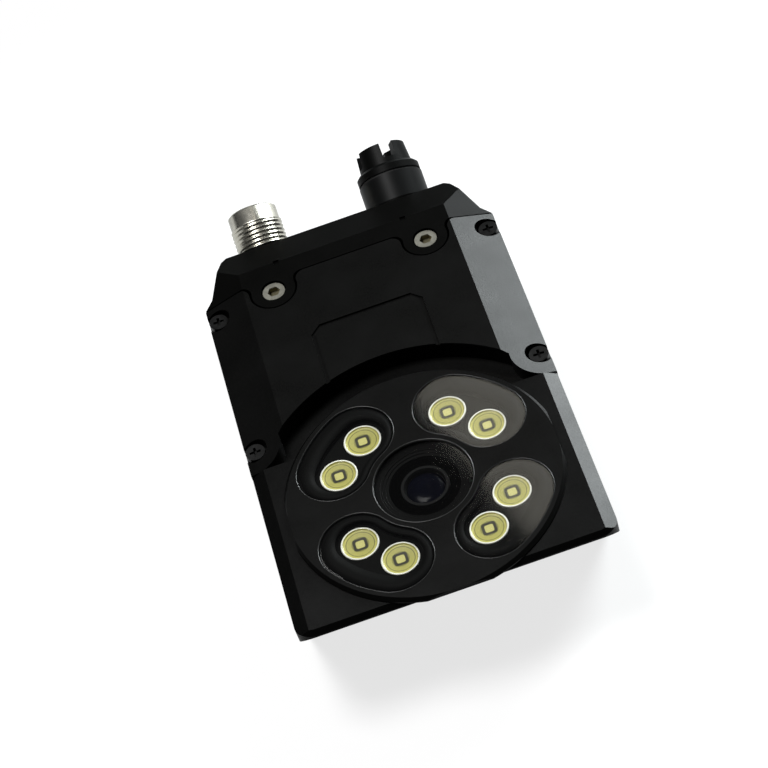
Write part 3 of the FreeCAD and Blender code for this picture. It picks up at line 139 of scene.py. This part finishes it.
class Value:
    """A number that varies over a surface; arithmetic on it adds Math nodes."""

    def __init__(self, recipe, socket):
        self.recipe = recipe
        self.socket = socket

    def math(self, operation, first, second=0.0):
        """One Math node on two values or numbers."""
        return self.recipe.add("ShaderNodeMath", {"operation": operation},
                               {0: first, 1: second})

    def __add__(self, other):
        return self.math("ADD", self, other)

    def __radd__(self, other):
        return self.math("ADD", other, self)

    def __sub__(self, other):
        return self.math("SUBTRACT", self, other)

    def __rsub__(self, other):
        return self.math("SUBTRACT", other, self)

    def __mul__(self, other):
        return self.math("MULTIPLY", self, other)

    def __rmul__(self, other):
        return self.math("MULTIPLY", other, self)

    def absolute(self):
        """The value without its sign."""
        return self.math("ABSOLUTE", self)

    def power(self, exponent):
        """The value raised to a power."""
        return self.math("POWER", self, exponent)

    def above(self, limit):
        """1 where the value is over the limit, else 0."""
        return self.math("GREATER_THAN", self, limit)

    def within(self, low, high):
        """1 between two limits, fading over a quarter of their distance either side of each."""
        soft = (high - low) * 0.25
        rise = self.recipe.add(
            "ShaderNodeMapRange", {"interpolation_type": "SMOOTHSTEP"},
            {"Value": self, "From Min": low - soft, "From Max": low + soft})
        fall = self.recipe.add(
            "ShaderNodeMapRange", {"interpolation_type": "SMOOTHSTEP"},
            {"Value": self, "From Min": high - soft, "From Max": high + soft})
        return rise * (1 - fall)


class Recipe:
    """One material, or the world's surroundings, put together node by node."""

    def __init__(self, name, kind="Material"):
        family = bpy.data.worlds if kind == "World" else bpy.data.materials
        self.made = family.new(name)
        self.made.use_nodes = True
        self.tree = self.made.node_tree
        self.tree.nodes.clear()
        self.output = self.tree.nodes.new("ShaderNodeOutput" + kind)

    def add(self, kind, settings=None, sockets=None, out=0):
        """Adds a node: its settings first, then the values or links of its sockets."""
        node = self.tree.nodes.new(kind)
        for name, value in (settings or {}).items():
            setattr(node, name, value)
        for name, value in (sockets or {}).items():
            if isinstance(value, Value):
                self.tree.links.new(value.socket, node.inputs[name])
            else:
                node.inputs[name].default_value = value
        return Value(self, node.outputs[out])

    def place(self):
        """Where a point lies on the object, in metres."""
        return self.add("ShaderNodeTexCoord", out=3)

    def parts(self, vector):
        """The three parts of a vector."""
        first = self.add("ShaderNodeSeparateXYZ", None, {"Vector": vector})
        return [Value(self, output) for output in first.socket.node.outputs]

    def distance(self, vector):
        """How far a vector reaches from zero."""
        return self.add("ShaderNodeVectorMath", {"operation": "LENGTH"}, {0: vector}, out=1)

    def noise(self, where, size, detail=2.0, roughness=0.5):
        """Cloudy noise whose blots are about this size, in metres."""
        return self.add("ShaderNodeTexNoise", None,
                        {"Vector": where, "Scale": 1.0 / size, "Detail": detail,
                         "Roughness": roughness})

    def stretched(self, where, scale):
        """Coordinates stretched along the axes."""
        return self.add("ShaderNodeVectorMath", {"operation": "MULTIPLY"},
                        {0: where, 1: scale})

    def blend(self, mask, first, second):
        """The first colour where the mask is 0, the second where it is 1."""
        colours = [c if isinstance(c, Value) else (*c, 1.0) for c in (first, second)]
        return self.add("ShaderNodeMix", {"data_type": "RGBA"},
                        {0: mask, 6: colours[0], 7: colours[1]}, out=2)

    def bump(self, height, distance):
        """Normals of a surface raised by up to this distance."""
        return self.add("ShaderNodeBump", None,
                        {"Height": height, "Distance": distance, "Strength": 1.0})

    def principled(self, sockets):
        return self.add("ShaderNodeBsdfPrincipled", None, sockets)

    def mixed(self, share, first, second):
        """The first shader where the share is 0, the second where it is 1."""
        return self.add("ShaderNodeMixShader", None, {0: share, 1: first, 2: second})

    def finish(self, shader):
        """Joins the shader to the output and gives back what was made."""
        self.tree.links.new(shader.socket, self.output.inputs["Surface"])
        return self.made


def tone(colour, factor):
    """A lighter or darker tone of a colour."""
    return tuple(min(1.0, part * factor) for part in colour)


def casting_paint(name, colour, roughness=0.31, grain=0.32 * MM, depth=0.012 * MM, gloss=0.10):
    """Fine-textured black paint on a casting: grain, cloudy tone, dust-dull patches."""
    recipe = Recipe(name)
    where = recipe.place()
    grains = recipe.noise(where, grain, detail=3.0, roughness=0.6)
    broad = recipe.noise(where, 9 * MM, detail=2.0)
    base = recipe.blend(broad, tone(colour, 0.85), tone(colour, 1.2))
    specks = recipe.add("ShaderNodeMapRange", None,
                        {"Value": grains, "From Min": 0.58, "From Max": 0.78})
    speckled = recipe.blend(specks * 0.5, base, tone(colour, 2.2))
    rough = roughness + 0.16 * (grains - 0.5) + 0.1 * (broad - 0.5)
    return recipe.finish(recipe.principled({
        "Base Color": speckled, "Roughness": rough, "Specular IOR Level": gloss,
        "Normal": recipe.bump(grains, depth)}))


def plastic(name, colour, roughness, gloss=0.3):
    """Moulded plastic: faint grain and flow marks."""
    recipe = Recipe(name)
    where = recipe.place()
    grains = recipe.noise(where, 0.15 * MM, detail=2.0)
    flow = recipe.noise(where, 5 * MM, detail=1.0)
    base = recipe.blend(flow, tone(colour, 0.85), tone(colour, 1.15))
    return recipe.finish(recipe.principled({
        "Base Color": base, "Roughness": roughness + 0.12 * (grains - 0.5),
        "Specular IOR Level": gloss, "Normal": recipe.bump(grains, 0.004 * MM)}))


def metal(name, colour, roughness, stain=0.35, sunk=None):
    """Plated or turned metal: fine streaks, small stains in tone and gloss.

    Below the height given as sunk, in a recess, its colour is darkened as painted shade.
    """
    recipe = Recipe(name)
    where = recipe.place()
    streaks = recipe.noise(recipe.stretched(where, (1.0, 1.0, 12.0)), 0.6 * MM, detail=4.0)
    stains = recipe.noise(where, 2.2 * MM, detail=3.0)
    base = recipe.blend(stains, colour, tone(colour, 1.0 - stain))
    if sunk is not None:
        height = recipe.parts(where)[2]
        # painted shade: a dark colour below the sunk height, in the recess
        recess_shade = (0.20, 0.18, 0.115)
        base = recipe.blend(height.above(sunk), recess_shade, base)
    return recipe.finish(recipe.principled({
        "Base Color": base, "Metallic": 1.0,
        "Roughness": roughness + 0.2 * (stains - 0.5) + 0.08 * (streaks - 0.5),
        "Normal": recipe.bump(streaks, 0.002 * MM)}))


def clear_pane(name, roughness=0.03):
    """Clear pane: see-through, its outer side a mirror after Fresnel, with faint smears."""
    recipe = Recipe(name)
    where = recipe.place()
    smears = recipe.noise(where, 6 * MM, detail=3.0)
    gloss = recipe.add("ShaderNodeBsdfGlossy", None, {
        "Color": (1.0, 1.0, 1.0, 1.0), "Roughness": roughness + 0.06 * smears})
    through = recipe.add("ShaderNodeBsdfTransparent", None, {"Color": (0.93, 0.93, 0.92, 1.0)})
    inner_side = recipe.add("ShaderNodeNewGeometry", out=6)
    mirror = recipe.add("ShaderNodeFresnel", None, {"IOR": 1.5}) * (1 - inner_side)
    return recipe.finish(recipe.mixed(mirror, through, gloss))


def lens_coating(name, colour):
    """Dark coated lens glass: deep body, mirror gloss, bluish bloom."""
    recipe = Recipe(name)
    where = recipe.place()
    bloom = recipe.noise(where, 3 * MM, detail=1.0)
    base = recipe.blend(bloom, colour, tone(colour, 2.4))
    return recipe.finish(recipe.principled({
        "Base Color": base, "Roughness": 0.12 + 0.06 * bloom, "Specular IOR Level": 0.03}))


def light_optic(name, yellow):
    """A light source's optic: pale rim, yellow field, rings of painted shade, square die.

    Its own UV map runs from -1 to 1 over the optic's width. The die's rounded
    square is where the fifth powers of the two places add up to less than its own.
    """
    recipe = Recipe(name)
    where = recipe.place()
    chart = recipe.add("ShaderNodeUVMap", {"uv_map": "optic"})
    across, along, _ = recipe.parts(chart)
    radius = recipe.distance(chart)
    square = (across.absolute().power(5.0) + along.absolute().power(5.0)).power(0.2)
    die_edge = 0.22
    outline_edge = 0.38
    rim_start = 0.90
    side_start = 1.02
    mottle = recipe.noise(where, 0.5 * MM, detail=3.0)
    face = recipe.blend(mottle, tone(yellow, 0.78), tone(yellow, 1.15))
    # each ring of painted shade: its two radii, how strongly it shows, and its tone
    for low, high, strength, shade in (
            (0.44, 0.70, 0.45, 0.62), (0.71, 0.755, 0.85, 0.20), (0.36, 0.46, 0.75, 0.35)):
        face = recipe.blend(radius.within(low, high) * strength, face, tone(yellow, shade))
    face = recipe.blend(square.within(die_edge, outline_edge), face, tone(yellow, 0.03))
    face = recipe.blend(1 - square.above(die_edge), face, (0.46, 0.43, 0.15))
    face = recipe.blend(radius.above(rim_start), face, (0.66, 0.66, 0.6))
    face = recipe.blend(radius.above(side_start), face, (0.05, 0.05, 0.045))
    return recipe.finish(recipe.principled({
        "Base Color": face, "Roughness": 0.3 + 0.2 * mottle, "Coat Weight": 0.6,
        "Coat Roughness": 0.08, "Normal": recipe.bump(mottle, 0.01 * MM)}))


def board_lacquer(name, colour):
    """Green solder lacquer over copper tracks."""
    recipe = Recipe(name)
    where = recipe.place()
    tracks = recipe.add("ShaderNodeTexWave", {"wave_type": "BANDS"},
                        {"Vector": where, "Scale": 180.0, "Distortion": 2.5, "Detail": 1.0})
    base = recipe.blend(tracks, colour, tone(colour, 1.7))
    return recipe.finish(recipe.principled({
        "Base Color": base, "Roughness": 0.35 + 0.1 * tracks,
        "Normal": recipe.bump(tracks, 0.01 * MM)}))


def floor_paper(name):
    """White studio paper that stays white round the object and keeps its shadow.

    Only the camera sees it white: to everything else it is grey, so it mirrors little.
    """
    recipe = Recipe(name)
    where = recipe.place()
    fibre = recipe.noise(where, 4 * MM, detail=2.0)
    seen = recipe.blend(fibre, (0.86, 0.86, 0.86), (0.9, 0.9, 0.9))
    ray = recipe.add("ShaderNodeLightPath")
    base = recipe.blend(ray, (0.35, 0.35, 0.35), seen)
    paper = recipe.principled({"Base Color": base, "Roughness": 0.9,
                               "Specular IOR Level": 0.0})
    far = recipe.add("ShaderNodeMapRange", {"interpolation_type": "SMOOTHSTEP"},
                     {"Value": recipe.distance(where), "From Min": 0.05, "From Max": 0.2,
                      "To Min": 0.76, "To Max": 1.0})
    white = recipe.add("ShaderNodeEmission", None, {"Color": (1.0, 1.0, 1.0, 1.0)})
    return recipe.finish(recipe.mixed(ray * far, paper, white))


# what each finish is made of, from the panel's colours
FINISHES = {
    "casting": lambda colours: casting_paint("casting_paint", tuple(colours.casting)),
    "bezel": lambda colours: casting_paint(
        "bezel_paint", tuple(colours.bezel), grain=0.22 * MM, depth=0.008 * MM),
    # painted shade: the housing gets a darker copy of the casting paint
    "housing": lambda colours: casting_paint(
        "shaded_housing_paint", tone(tuple(colours.casting), 0.7), 0.33),
    "block": lambda colours: casting_paint(
        "block_paint", tuple(colours.casting), 0.34, gloss=0.03),
    # painted highlight: the opening bevels get a paint lighter than the bezel's, whose gloss also
    # catches the lamps
    "bevel": lambda colours: casting_paint(
        "edge_highlight_paint", (0.012, 0.012, 0.0115), 0.3, 0.22 * MM, 0.002 * MM, 0.4),
    "border": lambda colours: plastic("window_border", (0.0010, 0.0010, 0.0009), 0.6, 0.03),
    "baffle": lambda colours: plastic("matt_baffle", (0.0002, 0.0002, 0.0002), 0.8, 0.0),
    "pane": lambda colours: clear_pane("window_pane"),
    "cover_glass": lambda colours: clear_pane("lens_cover_glass", 0.02),
    "moulding": lambda colours: plastic("black_moulding", (0.0006, 0.0006, 0.0006), 0.5, 0.04),
    "optic": lambda colours: light_optic("light_optic", tuple(colours.phosphor)),
    "emitter": lambda colours: plastic("emitter_yellow", (0.7, 0.6, 0.1), 0.5),
    "board": lambda colours: board_lacquer("green_board", (0.01, 0.07, 0.025)),
    "chip": lambda colours: plastic("chip_body", (0.012, 0.012, 0.014), 0.35),
    "brass": lambda colours: metal("pillar_brass", (0.62, 0.47, 0.22), 0.3),
    "pad": lambda colours: plastic("heat_pad", (0.28, 0.33, 0.38), 0.7),
    "barrel": lambda colours: plastic("anodised_barrel", (0.0025, 0.0025, 0.0027), 0.4, 0.1),
    "lens": lambda colours: lens_coating("lens_coating", tuple(colours.glass)),
    "nickel": lambda colours: metal("nickel_plating", tuple(colours.nickel), 0.27),
    "gold": lambda colours: metal("contact_gold", (0.72, 0.52, 0.2), 0.2),
    "collar": lambda colours: plastic("blackened_collar", (0.0032, 0.0034, 0.0035), 0.36, 0.12),
    "cap": lambda colours: plastic("cap_plastic", (0.0016, 0.0017, 0.0016), 0.4, 0.05),
    "rubber": lambda colours: plastic("seal_rubber", (0.008, 0.008, 0.008), 0.7),
    "black_screw": lambda colours: metal("black_screw", (0.03, 0.03, 0.03), 0.32, stain=0.2),
    # the hex sockets of these screws get painted shade below the head's top
    "steel_screw": lambda colours: metal(
        "steel_screw", (0.36, 0.35, 0.30), 0.36, sunk=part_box("block_screws")[1][2] - 0.3 * MM),
    "paper": lambda colours: floor_paper("studio_paper"),
}
MATERIALS = {}


def finish_of(name):
    """Makes each finish once, when it is first asked for."""
    if name not in MATERIALS:
        MATERIALS[name] = FINISHES[name](bpy.context.scene.vision_colours)
    return MATERIALS[name]


NODE_FINISHES = {
    "housing": "housing", "upper_cover": "casting", "connector_block": "block",
    "block_gasket": "rubber", "bezel": "bezel", "light_windows": "pane",
    "light_holder": "moulding", "collimators": "optic", "light_emitters": "emitter",
    "light_board": "board", "lens_window": "cover_glass", "lens_barrel": "barrel",
    "front_lens": "lens", "rear_lens": "lens", "lens_holder": "moulding",
    "sensor_board": "board", "image_sensor": "chip", "board_pillars": "brass",
    "main_board": "board", "processor": "chip", "thermal_pad": "pad",
    "power_shell": "nickel", "power_insert": "moulding", "power_pins": "gold",
    "network_collar": "collar", "network_insert": "moulding", "network_contacts": "gold",
    "dust_cap": "cap", "cap_seal": "rubber", "cover_screws": "black_screw",
    "block_screws": "steel_screw",
}


# ------------------------------------------------------------------- surfaces

def grid_faces(rows, columns):
    """Quads between neighbouring points of a grid whose last row meets its first."""
    row, column = (part.ravel() for part in np.meshgrid(
        np.arange(rows), np.arange(columns - 1), indexing="ij"))
    start = row * columns + column
    beside = (row + 1) % rows * columns + column
    return np.stack([start, beside, beside + 1, start + 1], axis=1)


def make_piece(name, grids, finish, charts=None):
    """One object on the camera's body, from equal grids of points that close round.

    Charts are the UV places of the same grids, kept in a map called optic.
    """
    rows, columns = grids[0].shape[:2]
    faces = grid_faces(rows, columns)
    count = rows * columns
    points = np.concatenate([grid.reshape(-1, 3) for grid in grids])
    quads = np.concatenate([faces + i * count for i in range(len(grids))])
    mesh = bpy.data.meshes.new(name)
    mesh.from_pydata(points.tolist(), [], quads.tolist())
    if charts is not None:
        layer = mesh.uv_layers.new(name="optic")
        values = np.concatenate([chart.reshape(-1, 2) for chart in charts])
        layer.data.foreach_set("uv", values[quads.ravel()].ravel())
    mesh.polygons.foreach_set("use_smooth", np.ones(len(mesh.polygons), dtype=bool))
    mesh.validate()
    mesh.update()
    piece = bpy.data.objects.new(name, mesh)
    bpy.context.scene.collection.objects.link(piece)
    mesh.materials.append(finish_of(finish))
    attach(piece, "camera")
    return piece


def turned(profile, segments=96):
    """A turned shape: each (radius, height) of the profile carried round the z axis."""
    radius, height = np.asarray(profile).T
    angle = np.linspace(0, 2 * math.pi, segments, endpoint=False)
    return np.stack([np.outer(np.cos(angle), radius), np.outer(np.sin(angle), radius),
                     np.broadcast_to(height, (segments, len(height)))], axis=2)


def eased(corners, radius, steps=4):
    """A (radius, height) profile whose corners between its two ends are rounded.

    Each corner gives way to a quadratic curve between two points that lie at
    the rounding distance on its two sides.
    """
    corners = np.asarray(corners, dtype=float)
    before = corners[:-2] - corners[1:-1]
    after = corners[2:] - corners[1:-1]
    reach_before = np.linalg.norm(before, axis=1, keepdims=True)
    reach_after = np.linalg.norm(after, axis=1, keepdims=True)
    cut = np.minimum(radius, 0.45 * np.minimum(reach_before, reach_after))
    start = corners[1:-1] + before / reach_before * cut
    end = corners[1:-1] + after / reach_after * cut
    t = np.linspace(0, 1, steps + 1)[None, :, None]
    middle = corners[1:-1][:, None, :]
    bends = (1 - t) ** 2 * start[:, None, :] + 2 * t * (1 - t) * middle + t ** 2 * end[:, None, :]
    return np.concatenate([corners[:1], bends.reshape(-1, 2), corners[-1:]])


def kidney(circle, radius, spread, middle, samples=24):
    """Points round a kidney: everything at one distance from an arc about the axis.

    The far side is an arc of radius circle + distance, the near side one of
    circle - distance, and the two ends are half circles about the arc's ends.
    """
    t = np.linspace(0, 1, samples, endpoint=False)
    sweep = middle - spread + 2 * spread * t
    back = middle + spread - 2 * spread * t
    far = np.stack([(circle + radius) * np.cos(sweep), (circle + radius) * np.sin(sweep)], axis=1)
    near = np.stack([(circle - radius) * np.cos(back), (circle - radius) * np.sin(back)], axis=1)

    def end(angle, start):
        turn = start + math.pi * t
        return np.stack([circle * math.cos(angle) + radius * np.cos(turn),
                         circle * math.sin(angle) + radius * np.sin(turn)], axis=1)

    first_end = end(middle + spread, middle + spread)
    last_end = end(middle - spread, middle - spread + math.pi)
    return np.concatenate([far, first_end, near, last_end])


def band(outer, inner, profile):
    """A band between two closed outlines.

    Each (share, height) of the profile is an outline at that height, which lies
    that share of the way from the outer outline to the inner one.
    """
    share, height = (part[None, :, None] for part in np.asarray(profile).T)
    flat = outer[:, None, :] * (1 - share) + inner[:, None, :] * share
    return np.concatenate([flat, np.broadcast_to(height, (*flat.shape[:2], 1))], axis=2)


def threaded_tube(radius, length, segments=96):
    """A threaded tube on the z axis, from its buried root over its end and down its bore.

    The wall lies at the radius less a groove. How far along a turn a point is, is its
    height over the pitch less its angle over a full turn, so the groove climbs by
    one pitch each time round. The groove rises and falls evenly along a turn and
    is cut flat at crest and root. It runs out below the plain lead at the end.
    """
    sizes = bpy.context.scene.vision_sizes
    samples_per_turn = 22
    buried = -4.2 * MM
    floor = 4.7 * MM
    bore = radius - 1.5 * MM
    tip = radius - 0.95 * MM
    root_wall = radius - 0.3 * MM
    lead_wall = radius - sizes.thread_depth * 0.9
    turns_end = sizes.thread_turns * sizes.thread_pitch
    height = np.concatenate([
        [buried, -0.02 * MM],
        np.linspace(0, turns_end, samples_per_turn * sizes.thread_turns),
        [turns_end + 0.25 * MM, length - 0.5 * MM]])
    angle = np.linspace(0, 2 * math.pi, segments, endpoint=False)[:, None]
    phase = height[None, :] / sizes.thread_pitch - angle / (2 * math.pi)
    saw = np.abs((phase % 1.0) * 2 - 1)
    groove = np.clip(1.3 * saw - 0.15, 0, 1)
    run_out = np.clip((turns_end - height) / (0.5 * MM), 0, 1)[None, :]
    wall = radius - 0.02 * MM - sizes.thread_depth * groove * run_out
    wall = np.where(height[None, :] < 0, root_wall, wall)
    wall = np.where(height[None, :] > turns_end + 0.1 * MM, lead_wall, wall)
    inside = np.broadcast_to([tip, bore + 0.2 * MM, bore, bore], (segments, 4))
    wall = np.concatenate([wall, inside], axis=1)
    height = np.concatenate([height, [length, length, length - 0.2 * MM, floor]])
    return np.stack([wall * np.cos(angle), wall * np.sin(angle),
                     np.broadcast_to(height, wall.shape)], axis=2)


def lens_axis():
    """Where the optical axis meets the front of the bezel."""
    low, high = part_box("bezel")
    return np.array([(low[0] + high[0]) / 2, (low[1] + high[1]) / 2, high[2]])


def mount_of(name):
    """A mount of the record by name."""
    return next(mount for mount in frame["record"]["mounts"] if mount["name"] == name)


def seated(grid, mount):
    """Moves a shape drawn on the z axis, from z = 0, onto the start of a mount's pin."""
    along = np.array(mount["axis"], dtype=float)
    across = np.array([1.0, 0.0, 0.0])
    up = np.cross(along, across)
    foot = np.array(mount["pos_m"]) - along * mount["dims"]["length_mm"] * MM / 2
    return foot + grid[..., :1] * across + grid[..., 1:2] * up + grid[..., 2:] * along


def quarter_angles():
    """Where the middles of the four windows lie, round the optical axis."""
    return [math.radians(45 + 90 * quarter) for quarter in range(4)]


def window_outline(middle, wider):
    """The outline of a window's opening, wider by a distance."""
    sizes = bpy.context.scene.vision_sizes
    return kidney(sizes.window_circle, sizes.window_radius + wider, sizes.window_spread, middle)


# ------------------------------------------------------------------ operators

class VISION_OT_node_finishes(bpy.types.Operator):
    """Gives every solid its finish"""

    bl_idname = "vision.node_finishes"
    bl_label = "Finish the Solids"

    def execute(self, context):
        for name, finish in NODE_FINISHES.items():
            solid = frame["nodes"][name]
            for place in solid.material_slots:
                place.material = finish_of(finish)
            if not solid.material_slots:
                solid.data.materials.append(finish_of(finish))
        return {"FINISHED"}


class VISION_OT_light_optics(bpy.types.Operator):
    """Makes the eight optics of the light: rim, dished yellow field, tapered foot"""

    bl_idname = "vision.light_optics"
    bl_label = "Light Optics"

    def execute(self, context):
        sizes = context.scene.vision_sizes
        axis = lens_axis()
        low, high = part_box("collimators")
        top = high[2]
        depth = top - low[2]
        rim = sizes.light_radius
        dish = -0.42 * MM
        dish_edge = -0.34 * MM
        rim_top = -0.04 * MM
        rim_side = -0.3 * MM
        shoulder = -1.0 * MM
        foot = 0.02 * MM - depth
        corners = [(0.0, dish), (0.20 * rim, dish), (0.86 * rim, dish_edge),
                   (0.90 * rim, rim_top), (0.985 * rim, rim_top), (rim, rim_side),
                   (0.93 * rim, shoulder), (0.5 * rim, foot), (0.0, foot)]
        shape = turned(eased(corners, 0.12 * MM), 64)
        grids = []
        charts = []
        for middle in quarter_angles():
            for side in (-1, 1):
                angle = middle + side * sizes.light_spread
                spot = np.array([axis[0] + sizes.light_circle * math.cos(angle),
                                 axis[1] + sizes.light_circle * math.sin(angle), top])
                grids.append(shape + spot)
                charts.append(shape[..., :2] / rim)
        piece = make_piece("light_optics", grids, "optic", charts)
        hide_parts("collimators")
        return {"FINISHED"}


class VISION_OT_window_borders(bpy.types.Operator):
    """Makes the dark borders of the panes and the bevels of their openings"""

    bl_idname = "vision.window_borders"
    bl_label = "Window Borders"

    def execute(self, context):
        sizes = context.scene.vision_sizes
        axis = lens_axis()
        offset = axis * np.array([1.0, 1.0, 0.0])
        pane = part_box("light_windows")[1][2]
        border_face = pane - 0.06 * MM
        border_back = pane - 0.14 * MM
        border_profile = (
            (0.0, border_back), (0.0, border_face), (0.5, border_face),
            (1.0, border_face), (1.0, border_back))
        # the bevel's crest stands over the bezel's front, its foot is in the opening
        front = axis[2]
        bevel_in = 0.03 * MM
        bevel_out = 0.16 * MM
        bevel_profile = (
            (0.0, front - 0.02 * MM), (0.2, front + 0.03 * MM), (0.45, front + 0.05 * MM),
            (0.75, front + 0.02 * MM), (0.95, front - 0.08 * MM), (1.0, front - 0.3 * MM))
        borders = []
        bevels = []
        for middle in quarter_angles():
            clear = kidney(sizes.light_circle, sizes.border_inner, sizes.light_spread, middle)
            outer = window_outline(middle, -sizes.border_gap)
            borders.append(offset + band(outer, clear, border_profile))
            lip = window_outline(middle, bevel_out)
            edge = window_outline(middle, -bevel_in)
            bevels.append(offset + band(lip, edge, bevel_profile))
        make_piece("window_borders", borders, "border")
        make_piece("window_bevels", bevels, "bevel")
        return {"FINISHED"}


class VISION_OT_lens_details(bpy.types.Operator):
    """Makes the hood's steps and baffle, the opening's bevel and the domed front lens"""

    bl_idname = "vision.lens_details"
    bl_label = "Lens Details"

    def execute(self, context):
        axis = lens_axis()
        offset = axis * np.array([1.0, 1.0, 0.0])
        hood_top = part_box("lens_window")[0][2] - 0.05 * MM
        # three ledges narrow the hood, each with a short steep wall inside it
        steps = eased([
            (9.15 * MM, hood_top), (8.75 * MM, hood_top),
            (8.7 * MM, hood_top - 0.22 * MM), (8.15 * MM, hood_top - 0.24 * MM),
            (8.1 * MM, hood_top - 0.46 * MM), (7.5 * MM, hood_top - 0.48 * MM),
            (7.42 * MM, hood_top - 0.9 * MM)], 0.05 * MM)
        make_piece("hood_steps", [offset + turned(steps, 128)], "moulding")
        # a bead round the lens opening, over the bezel's front and into the opening
        front = axis[2]
        bead = eased([
            (10.52 * MM, front - 0.02 * MM), (10.46 * MM, front + 0.04 * MM),
            (10.36 * MM, front + 0.04 * MM), (10.26 * MM, front - 0.1 * MM),
            (10.25 * MM, front - 0.4 * MM)], 0.05 * MM)
        make_piece("lens_opening_bevel", [offset + turned(bead, 128)], "bevel")
        # a cone from the hood's throat to the barrel
        baffle = [(7.5 * MM, hood_top - 0.85 * MM), (5.02 * MM, hood_top - 1.15 * MM)]
        make_piece("hood_baffle", [offset + turned(baffle)], "baffle")
        # a quarter of an ellipse carried round, with a flat back
        low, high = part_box("front_lens")
        radius = (high[0] - low[0]) / 2
        sag = 0.9 * MM
        turn = np.linspace(0, math.pi / 2, 18)
        dome = np.stack([radius * np.sin(turn), high[2] - sag + sag * np.cos(turn)], axis=1)
        back = [(radius, low[2]), (0.0, low[2])]
        piece = make_piece("front_lens_dome", [offset + turned(np.concatenate([dome, back]))],
                           "lens")
        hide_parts("front_lens")
        return {"FINISHED"}


class VISION_OT_power_thread(bpy.types.Operator):
    """Makes the threaded shell of the power connector"""

    bl_idname = "vision.power_thread"
    bl_label = "Power Thread"

    def execute(self, context):
        mount = mount_of("power_thread")
        tube = threaded_tube(mount["dims"]["r_mm"] * MM, mount["dims"]["length_mm"] * MM + 0.5 * MM)
        piece = make_piece("power_thread", [seated(tube, mount)], "nickel")
        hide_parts("power_shell")
        return {"FINISHED"}


def pointing(spot, aim, roll=0.0):
    """The turn of a lamp or camera at a spot that looks at another, rolled by an angle."""
    turn = (Vector(aim) - Vector(spot)).to_track_quat("-Z", "Y").to_euler()
    turn.rotate_axis("Z", roll)
    return turn


def softbox(name, spot, aim, size, watts, colour=(1.0, 1.0, 1.0), roll=0.0):
    """A rectangular lamp of the given width and height that looks at a point."""
    light = bpy.data.lights.new(name, "AREA")
    light.shape = "RECTANGLE"
    light.size, light.size_y = size
    light.energy = watts
    light.color = colour
    lamp = bpy.data.objects.new(name, light)
    lamp.location = spot
    lamp.rotation_euler = pointing(spot, aim, roll)
    bpy.context.scene.collection.objects.link(lamp)


class VISION_OT_stage(bpy.types.Operator):
    """Makes the white floor, the lamps, the surroundings and the camera"""

    bl_idname = "vision.stage"
    bl_label = "Studio"

    def execute(self, context):
        scene = context.scene
        low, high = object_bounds()
        reach = 4.0
        mesh = bpy.data.meshes.new("studio_floor")
        mesh.from_pydata([(-reach, -reach, low[2]), (reach, -reach, low[2]),
                          (reach, reach, low[2]), (-reach, reach, low[2])], [], [(0, 1, 2, 3)])
        floor = bpy.data.objects.new("studio_floor", mesh)
        scene.collection.objects.link(floor)
        mesh.materials.append(finish_of("paper"))
        floor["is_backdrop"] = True

        middle = (low + high) / 2
        softbox("key_right", (0.62, 0.60, 0.42), middle, (0.46, 0.5), 21.0, (0.93, 0.99, 1.0))
        softbox("front_fill", (-0.24, 0.16, 1.06), middle, (0.4, 0.4), 14.0)
        softbox("pane_glow", (0.058, 0.655, 0.85), middle, (0.066, 0.13), 0.043,
                (1.0, 0.96, 0.84), math.radians(25.0))

        # white to the camera, a dim sky to everything else
        air = Recipe("studio_air", "World")
        dim = air.add("ShaderNodeBackground", None,
                      {"Color": (0.94, 0.97, 1.0, 1.0), "Strength": 0.06})
        white = air.add("ShaderNodeBackground", None, {"Strength": 1.0})
        scene.world = air.finish(air.mixed(air.add("ShaderNodeLightPath"), dim, white))

        data = bpy.data.cameras.new("studio_camera")
        data.sensor_width = 36.0
        data.lens = 112.26
        data.clip_start = 0.05
        data.clip_end = 20.0
        camera = bpy.data.objects.new("studio_camera", data)
        axis = lens_axis()
        spot = axis + np.array([2.46, -304.08, 373.36]) * MM
        aim = axis + np.array([-1.247, 27.754, 0.0]) * MM
        camera.location = spot
        camera.rotation_euler = pointing(spot, aim, math.radians(-19.63))
        scene.collection.objects.link(camera)
        scene.camera = camera
        scene.view_settings.view_transform = "Standard"
        return {"FINISHED"}


class VISION_PT_panel(bpy.types.Panel):
    """Lists the pieces and the studio"""

    bl_label = "Vision Camera"
    bl_idname = "VISION_PT_panel"
    bl_space_type = "VIEW_3D"
    bl_region_type = "UI"
    bl_category = "Vision Camera"

    def draw(self, context):
        for operator in OPERATORS:
            self.layout.operator(operator.bl_idname)


OPERATORS = (
    VISION_OT_stage, VISION_OT_node_finishes, VISION_OT_light_optics,
    VISION_OT_window_borders, VISION_OT_lens_details, VISION_OT_power_thread,
)
CLASSES = (VisionSizes, VisionColours, *OPERATORS, VISION_PT_panel)


def register():
    for kind in CLASSES:
        bpy.utils.register_class(kind)
    bpy.types.Scene.vision_sizes = PointerProperty(type=VisionSizes)
    bpy.types.Scene.vision_colours = PointerProperty(type=VisionColours)


def unregister():
    del bpy.types.Scene.vision_colours
    del bpy.types.Scene.vision_sizes
    for kind in reversed(CLASSES):
        bpy.utils.unregister_class(kind)


def main():
    register()
    for operator in OPERATORS:
        group, name = operator.bl_idname.split(".")
        getattr(getattr(bpy.ops, group), name)()


if __name__ == "__main__":
    main()
